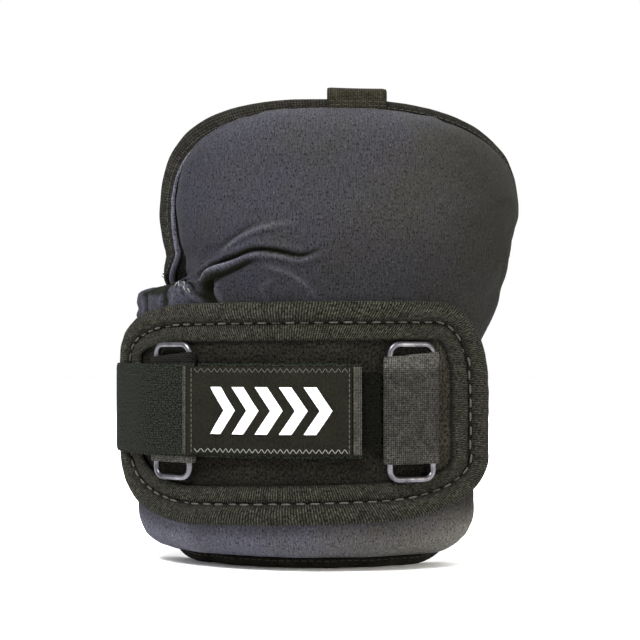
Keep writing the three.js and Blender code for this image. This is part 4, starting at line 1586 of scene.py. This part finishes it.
@dataclass
class Hanger:
    """Webbing folded over the top edge."""

    width: float = 24.0
    arc: float = 15.0
    tunnel: float = 3.6
    front_leg: float = 5.0
    back_leg: float = 14.0

    def make(self) -> Piece:
        """Sheet along an upside-down U, carried across the arc."""
        high = LAYERS.backing + LAYERS.slot_gap + LAYERS.tape + LAYERS.seam_gap + LAYERS.webbing / 2.0
        low = -LAYERS.slot_gap - LAYERS.tape - LAYERS.seam_gap - LAYERS.webbing / 2.0
        centre, half = (high + low) / 2.0, (high - low) / 2.0
        turn = np.linspace(0.0, math.pi, 15)
        crown = OUTLINE.height + self.tunnel + LAYERS.webbing / 2.0
        squash = half * 0.55
        arch = np.stack([centre + half * np.cos(turn), crown - squash + squash * np.sin(turn)], -1)
        edge, bend = OUTLINE.height, crown - squash
        front = np.stack([np.full(8, high), np.linspace(edge - self.front_leg, bend, 9)[:-1]], -1)
        back = np.stack([np.full(12, low), np.linspace(bend, edge - self.back_leg, 13)[1:]], -1)
        path = np.vstack([front, arch, back])
        across = np.linspace(-0.5, 0.5, 30) * self.width
        arc = self.arc + across[None] + 0.0 * path[:, :1]
        sag = 0.25 * np.sin(np.linspace(0.0, math.pi, 30))[None]
        middle = CURL.place(arc, path[:, 1:2] - sag, path[:, :1])
        gone = gone_along(path)
        uv = paired(across[None], gone[:, None])
        loop = build("hanging_webbing", cloth(middle, uv, LAYERS.webbing), material(Finish.HANGER))
        return dress(loop, "dark_tape", "hanging_loop")

    def make_stitches(self) -> Piece:
        """Two short rows of stitches through both legs, just under the tunnel."""
        arcs = self.arc + np.linspace(-0.42, 0.42, 9) * self.width
        depth = LAYERS.backing + LAYERS.slot_gap + LAYERS.tape + LAYERS.seam_gap + LAYERS.webbing
        rows = [np.stack([arcs, np.full_like(arcs, OUTLINE.height - drop)], -1) for drop in (1.6, 3.2)]
        spots = np.concatenate(rows)
        stitches = sew("hanger_stitches", spots, spots + [0.5, 0.0], depth, 2.0, 0.2, Finish.EDGE_STITCH)
        return dress(stitches, "dark_tape")


@dataclass
class StrapPanel:
    """The dark panel, its wide rolled tape and the tape's lockstitch."""

    front_leg: float = 16.0
    back_leg: float = 9.0
    seam_inset: float = 8.6
    roll: float = 2.2
    pitch: float = 5.8

    def make_panel(self) -> Piece:
        """Thin cloth on the cuff, dimpled a little where it is sewn down."""
        share = np.linspace(0.0, 1.0, 150)
        arc, bottom, top = PANEL.spans(share, LAYERS.backing_inset)
        up = np.linspace(0.0, 1.0, 60)[:, None]
        height = bottom + (top - bottom) * up
        arc = np.broadcast_to(arc, height.shape)
        puff = 0.25 * ripples(arc, height, 15.0, 21) + 0.12 * ripples(arc, height, 5.0, 22)
        outer = CURL.place(arc, height, LAYERS.panel_outer - 0.25 + np.minimum(puff, 0.2))
        inner = CURL.place(arc, height, LAYERS.panel_inner)
        uv = CURL.cloth_uv(arc, height, LAYERS.panel_outer)
        # Painted light at the right end and along the top, painted shade over the lower part.
        pale = 0.7 * smoothstep(arc, 33.0, 37.5) + 0.12 * smoothstep(height, 85.0, 100.0)
        light_and_shade = np.stack([0.6 * (1.0 - smoothstep(height, 30.0, 45.0)), pale], -1)
        panel = build("panel_cloth", shell(outer, inner, uv, light_and_shade=light_and_shade), material(Finish.PANEL_CLOTH))
        return dress(panel, "panel_cloth", "strap_panel")

    def face(self, inset: Array, along: Array) -> Array:
        """Depth of the tape's face: a roll up to the seam, a dimple at each stitch, then flat.

        Args:
            inset: distance from the outer edge.
            along: distance along the seam.

        Returns:
            The depth of the middle of the tape.
        """
        flat = LAYERS.panel_outer + LAYERS.seam_gap + LAYERS.tape / 2.0
        roll = self.roll * np.sin(math.pi * np.clip(inset / self.seam_inset, 0.0, 1.0)) ** 0.8
        stitch = 0.75 + 0.25 * np.cos(math.tau * along / self.pitch)
        dip = 1.5 * np.exp(-((inset - self.seam_inset) / 1.1) ** 2) * stitch
        past_seam = (inset - self.seam_inset) / (self.front_leg - self.seam_inset)
        swell = 0.35 * np.sin(math.pi * np.clip(past_seam, 0.0, 1.0))
        return flat + roll + swell - dip

    def make_tape(self) -> Piece:
        """Tape carried round the outline: front leg, half circle over the edge, back leg."""
        back = LAYERS.panel_inner - LAYERS.seam_gap - LAYERS.tape / 2.0
        front = self.face(np.array([0.0]), np.array([0.0]))[0]
        centre, bend = (front + back) / 2.0, (front - back) / 2.0
        turn = np.linspace(math.pi / 2.0, -math.pi / 2.0, 11)
        fold_inset = LAYERS.tape / 2.0 + bend * 0.8 * (1.0 - np.cos(turn))
        fold_depth = centre + bend * np.sin(turn)
        leg = np.linspace(self.front_leg, fold_inset[0], 30)[:-1]
        back_leg = np.linspace(fold_inset[-1], self.back_leg, 6)[1:]
        insets = np.concatenate([leg, fold_inset, back_leg])
        count = 900
        guide = int(np.argmin(np.abs(leg - self.seam_inset)))
        spots, length = matched_rings([PANEL.ring(inset) for inset in insets], guide, count)
        along = np.linspace(0.0, length, count, endpoint=False)[:, None]
        real = along * CURL.stretch(LAYERS.panel_outer)
        depth = np.empty(spots.shape[:2])
        legs = len(leg)
        folds = legs + len(fold_inset)
        depth[:, :legs] = self.face(leg[None], real)
        start = self.face(np.array([[fold_inset[0]]]), real)
        depth[:, legs:folds] = lerp(back, start, (fold_depth[None] - back) / (front - back))
        depth[:, folds:] = back
        depth[:, :folds] += 0.10 * ripples(real, insets[None, :folds] * 3.0, 9.0, 31)
        middle = CURL.place(spots[..., 0], spots[..., 1], depth)
        reach = gone_along(np.stack([insets, depth[0]], -1))
        uv = paired(real, reach[None])
        # Painted shade in the seam's groove, deeper at each stitch, and along the front leg's inner edge.
        off_seam = np.abs(insets[None] - self.seam_inset)
        hole = 0.5 - 0.5 * np.cos(math.tau * real / self.pitch)
        dark = np.exp(-((off_seam / 1.4) ** 2)) * (0.6 + 0.4 * hole)
        dark = dark + 0.6 * smoothstep(insets[None], self.front_leg - 1.6, self.front_leg)
        light_and_shade = paired(dark, 0.0 * real)
        period = float(real[-1, 0] + real[1, 0])
        patches = cloth(middle, uv, LAYERS.tape, wrap=True, period=period, light_and_shade=light_and_shade)
        return dress(build("panel_tape", patches, material(Finish.PANEL_TAPE)), "dark_tape", "panel_binding")

    def make_seam(self) -> Piece:
        """Long lockstitches in the tape's groove."""
        ring = PANEL.ring(self.seam_inset)
        stretch = np.array([CURL.stretch(LAYERS.panel_outer), 1.0])
        scaled = ring * stretch
        closed = np.vstack([scaled, scaled[:1]])
        count = int(round(gone_along(closed)[-1] / self.pitch))
        spots, ahead = (places / stretch for places in along_ring(scaled, count))
        sunk = 0.3 - 0.45 * ripples(spots[:, 0], spots[:, 1], 10.0, 51)
        depth = LAYERS.panel_outer + LAYERS.seam_gap + LAYERS.tape - sunk
        return dress(sew("panel_seam", spots, ahead, depth, 4.2, 0.42, Finish.STITCH), "dark_tape")


class Side(Enum):
    """The two wire loops, with their arcs."""

    LEFT = -46.2
    RIGHT = 26.6


@dataclass
class WireLoop:
    """A bent wire loop and the webbing band round its long bars."""

    side: Side
    tall: float = 57.3
    wide: float = 22.0
    corner: float = 4.0
    centre: float = 65.6
    band_tall: float = 44.3
    band_centre: float = 66.8
    slant: float = 0.9

    @property
    def half_arc(self) -> float:
        """Half the distance between the long bars, as an arc."""
        return CURL.arc_at(self.wide - LAYERS.wire, LAYERS.wire_centre) / 2.0

    def make_wire(self) -> Piece:
        """Circle carried round a rounded rectangle that lies along the cuff."""
        half_tall = (self.tall - LAYERS.wire) / 2.0
        corner_arc = CURL.arc_at(self.corner, LAYERS.wire_centre)
        path = []
        for right, up, start in ((1, -1, -90), (1, 1, 0), (-1, 1, 90), (-1, -1, 180)):
            turn = np.radians(start + np.linspace(0.0, 90.0, 13))
            arc = self.side.value + right * (self.half_arc - corner_arc) + corner_arc * np.cos(turn)
            height = self.centre + up * (half_tall - self.corner) + self.corner * np.sin(turn)
            path.append(np.stack([arc, height], -1))
        ring = np.concatenate(path)
        spots, ahead = along_ring(ring, 160)
        centres = CURL.place(spots[:, 0], spots[:, 1], LAYERS.wire_centre)
        along = unit(CURL.place(ahead[:, 0], ahead[:, 1], LAYERS.wire_centre) - centres)
        out = CURL.place(spots[:, 0], spots[:, 1], LAYERS.wire_centre + 1.0) - centres
        side = unit(np.cross(along, out))
        out = np.cross(side, along)
        turn = np.linspace(0.0, math.tau, 17)
        around = np.cos(turn)[None, :, None] * side[:, None] + np.sin(turn)[None, :, None] * out[:, None]
        points = centres[:, None] + around * (LAYERS.wire / 2.0 * MM)
        uv = paired(np.arange(160.0)[:, None], turn[None])
        name = f"wire_loop_{self.side.name.lower()}"
        wire = build(name, [Patch(points, uv, True, 160.0)], material(Finish.WIRE))
        return dress(wire, "wire", f"ring_{self.side.name.lower()}")

    def make_band(self) -> Piece:
        """Sheet round both bars: two faces joined by half circles, carried up the band."""
        bend = LAYERS.wire / 2.0 + LAYERS.seam_gap + LAYERS.webbing / 2.0
        flat = np.linspace(-1.0, 1.0, 22)[1:-1] * self.half_arc
        turn = np.linspace(-math.pi / 2.0, math.pi / 2.0, 11)
        bend_arc = CURL.arc_at(bend, LAYERS.wire_centre)
        sag = 0.35 * (1.0 - (flat / self.half_arc) ** 2)
        section = np.concatenate([
            np.stack([self.half_arc + bend_arc * np.cos(turn), bend * np.sin(turn)], -1),
            np.stack([flat[::-1], bend - sag], -1),
            np.stack([-self.half_arc - bend_arc * np.cos(turn), -bend * np.sin(turn)], -1),
            np.stack([flat, np.full_like(flat, -bend)], -1),
        ])
        height = self.band_centre + np.linspace(-0.5, 0.5, 60) * self.band_tall
        arc = self.side.value + section[:, :1] + 0.0 * height
        share = np.linspace(0.0, 1.0, 60)[None]
        height = height[None] + self.slant * section[:, :1] / self.half_arc * smoothstep(share, 0.6, 1.0)
        wave = 0.12 * ripples(section[:, :1] * 1.0, height, 9.0, 141 + int(self.side.value))
        middle = CURL.place(arc, height, LAYERS.wire_centre + section[:, 1:] + wave)
        scale = CURL.stretch(LAYERS.wire_centre)
        gone = gone_along(np.vstack([section, section[:1]]) * [scale, 1.0])
        uv = paired(gone[:-1, None], height)
        name = f"webbing_band_{self.side.name.lower()}"
        # Painted light near both ends of the band; on the left loop, painted shade near its top by the
        # strap's edge and painted light at its lower end.
        pale = 0.65 * smoothstep(share, 0.84, 0.90) + 0.18 * (1.0 - smoothstep(share, 0.06, 0.12))
        dark = 0.0 * share
        if self.side is Side.LEFT:
            dark = 0.8 * smoothstep(share, 0.84, 0.90)
            pale = 0.8 * (1.0 - smoothstep(share, 0.10, 0.20))
        light_and_shade = paired(dark, pale + 0.0 * arc)
        patches = cloth(middle, uv, LAYERS.webbing, wrap=True, period=float(gone[-1]), light_and_shade=light_and_shade)
        band = build(name, patches, material(Finish.BAND))
        return dress(band, "grey_webbing", f"ring_band_{self.side.name.lower()}")


@dataclass
class Strap:
    """The elastic strap, its labelled tab and the pile patch under it."""

    tall: float = 38.1
    centre: float = 66.3
    tab_length: float = 70.0
    tab_end: float = 11.7
    overlap: float = 2.2
    label_gap: float = 0.6
    label_length: float = 63.0
    label_tall: float = 35.5
    patch_length: float = 56.0
    patch_tall: float = 32.5
    patch_end: float = 17.7
    back_radius: float = 74.0
    strap_end: float = -36.0
    label_left: float = -38.8
    climb_rise: float = 3.4

    @property
    def tab_start(self) -> float:
        """Arc of the tab's left end."""
        return self.tab_end - CURL.arc_at(self.tab_length, LAYERS.tab_outer)

    @property
    def label_end(self) -> float:
        """Arc of the label's right end."""
        gone = CURL.arc_at(self.overlap + self.label_gap + self.label_length, LAYERS.tab_outer)
        return self.tab_start + gone

    def route(self) -> Array:
        """Points that the strap's middle passes, seen from above, in millimetres."""
        half = LAYERS.elastic / 2.0
        radius = CURL.arm_radius
        panel_half = CURL.arc_at(PANEL.width, LAYERS.panel_outer) / 2.0
        panel_left = (PANEL.centre - panel_half) / radius
        anchor = OUTLINE.cuff_right / radius - math.tau
        wide = WireLoop(Side.LEFT).wide
        band_half = CURL.arc_at(wide / 2.0 + LAYERS.webbing, LAYERS.band_outer) / radius
        band = Side.LEFT.value / radius
        start = self.strap_end / radius
        on_band = radius + LAYERS.band_outer + LAYERS.seam_gap + half
        on_tape = radius + LAYERS.panel_tape_outer + LAYERS.seam_gap + half
        inside = radius - LAYERS.slot_gap - LAYERS.tape - LAYERS.seam_gap - half
        back = self.back_radius
        polar = np.array([
            (start, on_band), (band, on_band), (band - band_half, on_band),
            (panel_left + math.radians(9.0), on_tape + 1.4), (panel_left, on_tape + 0.6),
            (panel_left - math.radians(5.0), on_tape - LAYERS.elastic),
            (math.radians(-110.0), back + 2.0), (math.radians(-145.0), back), (math.radians(-180.0), back),
            (math.radians(-215.0), back), (math.radians(-250.0), back),
            (anchor + math.radians(22.0), inside + (back - inside) / 2.0),
            (anchor + math.radians(4.0), inside), (anchor - math.radians(8.0), inside),
        ])
        front = radius + CURL.backing / 2.0
        return np.stack([polar[:, 1] * np.sin(polar[:, 0]), front - polar[:, 1] * np.cos(polar[:, 0])], -1)

    def make_strap(self) -> Piece:
        """Elastic carried along its route, a little wavy where nothing holds it."""
        count = 420
        line = spline(self.route(), count)
        height = self.centre + np.linspace(-0.5, 0.5, 34) * self.tall
        along = np.gradient(line, axis=0)
        gone = gone_along(line)
        side = unit(np.stack([along[:, 1], -along[:, 0]], -1))
        free = smoothstep(gone, 60.0, 110.0)
        wave = (0.12 + 0.8 * free)[:, None] * ripples(gone[:, None], height[None], 60.0, 51) * 0.6
        curl = 0.35 * ((height - self.centre) / (self.tall / 2.0))[None] ** 2 * free[:, None]
        plan = line[:, None] + side[:, None] * (wave + curl)[..., None]
        middle = np.concatenate([plan, np.broadcast_to(height[None, :, None], (count, 34, 1))], -1) * MM
        uv = paired(gone[:, None], height[None])
        strap = build("elastic_strap", cloth(middle, uv, LAYERS.elastic), material(Finish.ELASTIC))
        LOG.info("strap length %.1f mm", float(gone[-1]))
        return dress(strap, "elastic", "arm_strap")

    def climb(self, arc: Array) -> Array:
        """Extra depth of the label's left end, which climbs over the end of the strap."""
        return self.climb_rise * (1.0 - smoothstep(arc, self.strap_end - 0.8, self.strap_end + 6.5))

    def flat_piece(self, name: str, start: float, end: float, tall: float, inner: float, outer: float,
                   finish: Finish, lumps: float, climbs: bool = False) -> Piece:
        """Rectangle of cloth that follows the cuff, a little uneven.

        Args:
            name: the object's name.
            start: arc of its left end.
            end: arc of its right end.
            tall: its height.
            inner: depth of its back.
            outer: depth of its face.
            finish: its finish.
            lumps: how uneven the face is.
            climbs: let its left end climb over the strap.

        Returns:
            The new object.
        """
        middle = (inner + outer) / 2.0
        arcs = np.linspace(start, end, 90)
        heights = self.centre + np.linspace(-0.5, 0.5, 46) * tall
        height, arc = np.meshgrid(heights, arcs, indexing="ij")
        uneven = lumps * np.minimum(ripples(arc, height, 11.0, 61) - 0.5, 0.3)
        rise = self.climb(arc) if climbs else 0.0
        points = CURL.place(arc, height, middle + uneven + rise)
        return build(name, cloth(points, CURL.cloth_uv(arc, height, middle), outer - inner), material(finish))

    def make_tab(self) -> Piece:
        """The hook tab under the label."""
        tab = self.flat_piece("strap_tab", self.tab_start, self.tab_end, self.tall, LAYERS.tab_inner,
                              LAYERS.tab_outer, Finish.ELASTIC, 0.1)
        return dress(tab, "elastic", "hook_tab")

    def make_label(self) -> Piece:
        """The woven label."""
        end = self.label_end
        label = self.flat_piece("woven_label", self.label_left, end, self.label_tall,
                                LAYERS.tab_outer + LAYERS.seam_gap, LAYERS.label_outer, Finish.LABEL,
                                0.12, climbs=True)
        return dress(label, "label_weave", "tab_label")

    def make_hem(self) -> Piece:
        """Paler folded tape over the tab's end, beside the label."""
        inner = LAYERS.tab_outer + 0.1
        hem = self.flat_piece("tab_hem", self.label_end + 0.3, self.tab_end - 0.2, self.label_tall, inner,
                              inner + 0.9, Finish.HEM, 0.1)
        return dress(hem, "label_weave")

    def make_fold(self) -> Piece:
        """Paler folded edge of the label where it lies on the strap."""
        inner = LAYERS.label_outer - 0.2
        fold = self.flat_piece("label_fold", self.label_left - 0.1, self.label_left + 0.9,
                               self.label_tall + 0.4, inner, inner + 0.6, Finish.HEM, 0.05, climbs=True)
        return dress(fold, "label_weave")

    def make_border(self) -> Piece:
        """Rows of stitches up both ends of the label."""
        heights = self.centre + np.linspace(-0.46, 0.46, 17) * self.label_tall
        arcs = np.array([self.label_left + 2.6, self.label_end - 0.8])
        spots = np.stack(np.meshgrid(arcs, heights, indexing="ij"), -1).reshape(-1, 2)
        depth = LAYERS.label_outer + self.climb(spots[:, 0])
        border = sew("label_border", spots, spots + [0.0, 0.5], depth, 1.7, 0.2, Finish.GREY_THREAD)
        return dress(border, "label_weave")

    def make_chevrons(self) -> Piece:
        """Five embroidered chevrons: slanted bars that meet at a point, domed across."""
        count, wide, tall, tip, step = 5, 5.2, 19.0, 6.5, 10.0
        first = self.label_left + CURL.arc_at(10.4, LAYERS.label_outer)
        up = np.linspace(-1.0, 1.0, 61)
        across = np.linspace(0.0, 1.0, 13)
        crown = 0.75 * np.sin(math.pi * across) ** 0.5
        ragged = 0.12 * ripples(up[:, None] * tall / 2.0, across[None] * 9.0, 0.9, 71)
        patches = []
        for number in range(count):
            start = first + CURL.arc_at(number * step, LAYERS.label_outer)
            length = tip * (1.0 - np.abs(up))[:, None] + wide * across[None]
            arc = start + CURL.arc_at(length, LAYERS.label_outer)
            height = np.broadcast_to(self.centre + up[:, None] * tall / 2.0, arc.shape)
            base = LAYERS.label_outer - 0.3
            outer = CURL.place(arc, height, base + 0.25 + crown[None] + ragged * (crown[None] > 0.2))
            inner = CURL.place(arc, height, np.full_like(arc, base))
            uv = np.stack([length * 1.0, height], -1)
            patches += shell(outer, inner, uv)
        return dress(build("chevrons", patches, material(Finish.WHITE_THREAD)), "label_weave")

    def make_zigzag(self, edge: float, finish: Finish) -> Piece:
        """Zigzag stitches along one long edge of the label.

        Args:
            edge: 1 for the upper edge, -1 for the lower one.
            finish: the thread.

        Returns:
            The new object.
        """
        arcs = np.linspace(self.label_left + 3.4, self.label_end - 1.2, 50)
        middle = self.centre + edge * (self.label_tall / 2.0 - 1.6)
        swing = 0.9 * (-1.0) ** np.arange(len(arcs))
        corner = CURL.place(arcs, middle + swing, LAYERS.label_outer + 0.05 + self.climb(arcs))
        centre, ahead = (corner[:-1] + corner[1:]) / 2.0, corner[1:] - corner[:-1]
        axis = np.array([0.0, CURL.arm_radius + CURL.backing / 2.0, 0.0]) * MM
        out = unit((centre - axis) * np.array([1.0, 1.0, 0.0]))
        name = "zigzag_upper" if edge > 0.0 else "zigzag_lower"
        return dress(stitch_row(name, centre, ahead, out, 2.3, 0.17, finish), "label_weave")

    def make_patch(self) -> Piece:
        """Backing cloth of the pile patch."""
        start = self.patch_end - CURL.arc_at(self.patch_length, LAYERS.patch_outer)
        patch = self.flat_piece("pile_patch", start, self.patch_end, self.patch_tall,
                                LAYERS.panel_outer + LAYERS.seam_gap, LAYERS.patch_outer - 0.4,
                                Finish.PILE, 0.1)
        return dress(patch, "pile", "loop_patch")

    def make_pile(self) -> Piece:
        """Short bent tufts over the bare end of the patch, in seeded places."""
        draw = np.random.default_rng(81)
        count = 1500
        low = self.tab_end + 0.1
        arc = low + (self.patch_end - low - 0.2) * draw.random(count)
        height = self.centre + (draw.random(count) - 0.5) * (self.patch_tall - 0.6)
        base = CURL.place(arc, height, LAYERS.patch_outer - 0.6)
        lean = draw.normal(0.0, 0.45, (count, 2))
        top = LAYERS.patch_outer + 0.3 + 0.5 * draw.random(count)
        tip = CURL.place(arc + lean[:, 0], height + lean[:, 1], top)
        out = CURL.place(arc, height, LAYERS.patch_outer + 1.0) - base
        tufts = stitch_row("pile_tufts", (base + tip) / 2.0, tip - base, np.roll(out, 1, axis=1) / MM,
                           1.7, 0.16, Finish.PILE)
        return dress(tufts, "pile")


@dataclass
class Studio:
    """Camera, pale floor and soft lights."""

    distance: float = 750.0
    eye: float = 88.3
    focal_pixels: float = 1643.0
    horizon_row: float = 356.0
    image: float = 640.0
    sensor: float = 36.0
    ambient: float = 1.0
    floor_half: float = 6.0

    def camera(self) -> None:
        """Level camera in front of the arm's axis; the horizon row gives its shift."""
        data = bpy.data.cameras.new("camera")
        data.sensor_width = self.sensor
        data.lens = self.focal_pixels / self.image * self.sensor
        data.shift_y = (self.horizon_row - self.image / 2.0) / self.image
        data.clip_start = 0.01
        data.clip_end = 50.0
        data.dof.use_dof = False
        camera = bpy.data.objects.new("camera", data)
        axis = CURL.arm_radius + CURL.backing / 2.0
        camera.location = (0.0, (axis - self.distance) * MM, self.eye * MM)
        camera.rotation_euler = (math.radians(90.0), 0.0, 0.0)
        bpy.context.scene.collection.objects.link(camera)
        bpy.context.scene.camera = camera

    def floor(self) -> None:
        """Plain pale floor with a fine grain."""
        line = np.linspace(-self.floor_half, self.floor_half, 9)
        grid = np.stack(np.meshgrid(line, line, indexing="ij"), -1)
        points = np.concatenate([grid, np.zeros((9, 9, 1))], -1)
        graph = Graph("floor", 0.9)
        grain = graph.object_noise(3.0, 3.0)
        colour = graph.ramp(grain, [(0.3, grey(0.97)), (0.7, grey(0.98))])
        finish = graph.finish(colour, graph.relief(grain, 0.02, 0.1))
        build("floor", [Patch(points, grid)], finish)

    def light(self, name: str, place: Triple, size: float, power: float,
              colour: Triple) -> None:
        """Add a square area light that faces the pad.

        Args:
            name: its name.
            place: where it hangs, in metres.
            size: its side in metres.
            power: its power in watts.
            colour: its colour.
        """
        data = bpy.data.lights.new(name, "AREA")
        data.size = size
        data.energy = power
        data.color = colour
        lamp = bpy.data.objects.new(name, data)
        lamp.location = place
        aim = np.array([0.0, 0.0, 0.1]) - np.array(place)
        yaw = math.atan2(aim[0], -aim[1])
        pitch = math.atan2(math.hypot(aim[0], aim[1]), -aim[2])
        lamp.rotation_euler = (pitch, 0.0, yaw + math.pi)
        bpy.context.scene.collection.objects.link(lamp)

    def make(self) -> None:
        """Set up the whole studio."""
        self.camera()
        self.floor()
        self.light("key", (-0.45, -0.95, 1.35), 0.5, 60.0, (0.93, 0.95, 1.0))
        self.light("fill", (1.3, -1.0, 0.5), 0.7, 14.0, (1.0, 0.93, 0.78))
        self.light("back", (0.2, 1.2, 1.3), 1.0, 30.0, grey(1.0))
        world = bpy.data.worlds.new("studio")
        world.use_nodes = True
        background = world.node_tree.nodes["Background"]
        background.inputs[0].default_value = (1.0, 1.0, 1.0, 1.0)
        background.inputs[1].default_value = self.ambient
        bpy.context.scene.world = world
        bpy.context.scene.view_settings.view_transform = "Standard"


def main() -> None:
    """Build every piece in order."""
    logging.basicConfig(level=logging.INFO, format="%(message)s")
    Studio().make()
    PadCover().make()
    liner = BoundLiner()
    liner.make_liner()
    liner.make_tape()
    liner.make_seam()
    liner.make_strip()
    liner.make_frays()
    hanger = Hanger()
    hanger.make()
    hanger.make_stitches()
    panel = StrapPanel()
    panel.make_panel()
    panel.make_tape()
    panel.make_seam()
    for side in Side:
        loop = WireLoop(side)
        loop.make_wire()
        loop.make_band()
    strap = Strap()
    strap.make_patch()
    strap.make_pile()
    strap.make_tab()
    strap.make_label()
    strap.make_chevrons()
    strap.make_hem()
    strap.make_fold()
    strap.make_border()
    strap.make_zigzag(1.0, Finish.GREY_THREAD)
    strap.make_zigzag(-1.0, Finish.PALE_THREAD)
    strap.make_strap()


if __name__ == "__main__":
    main()
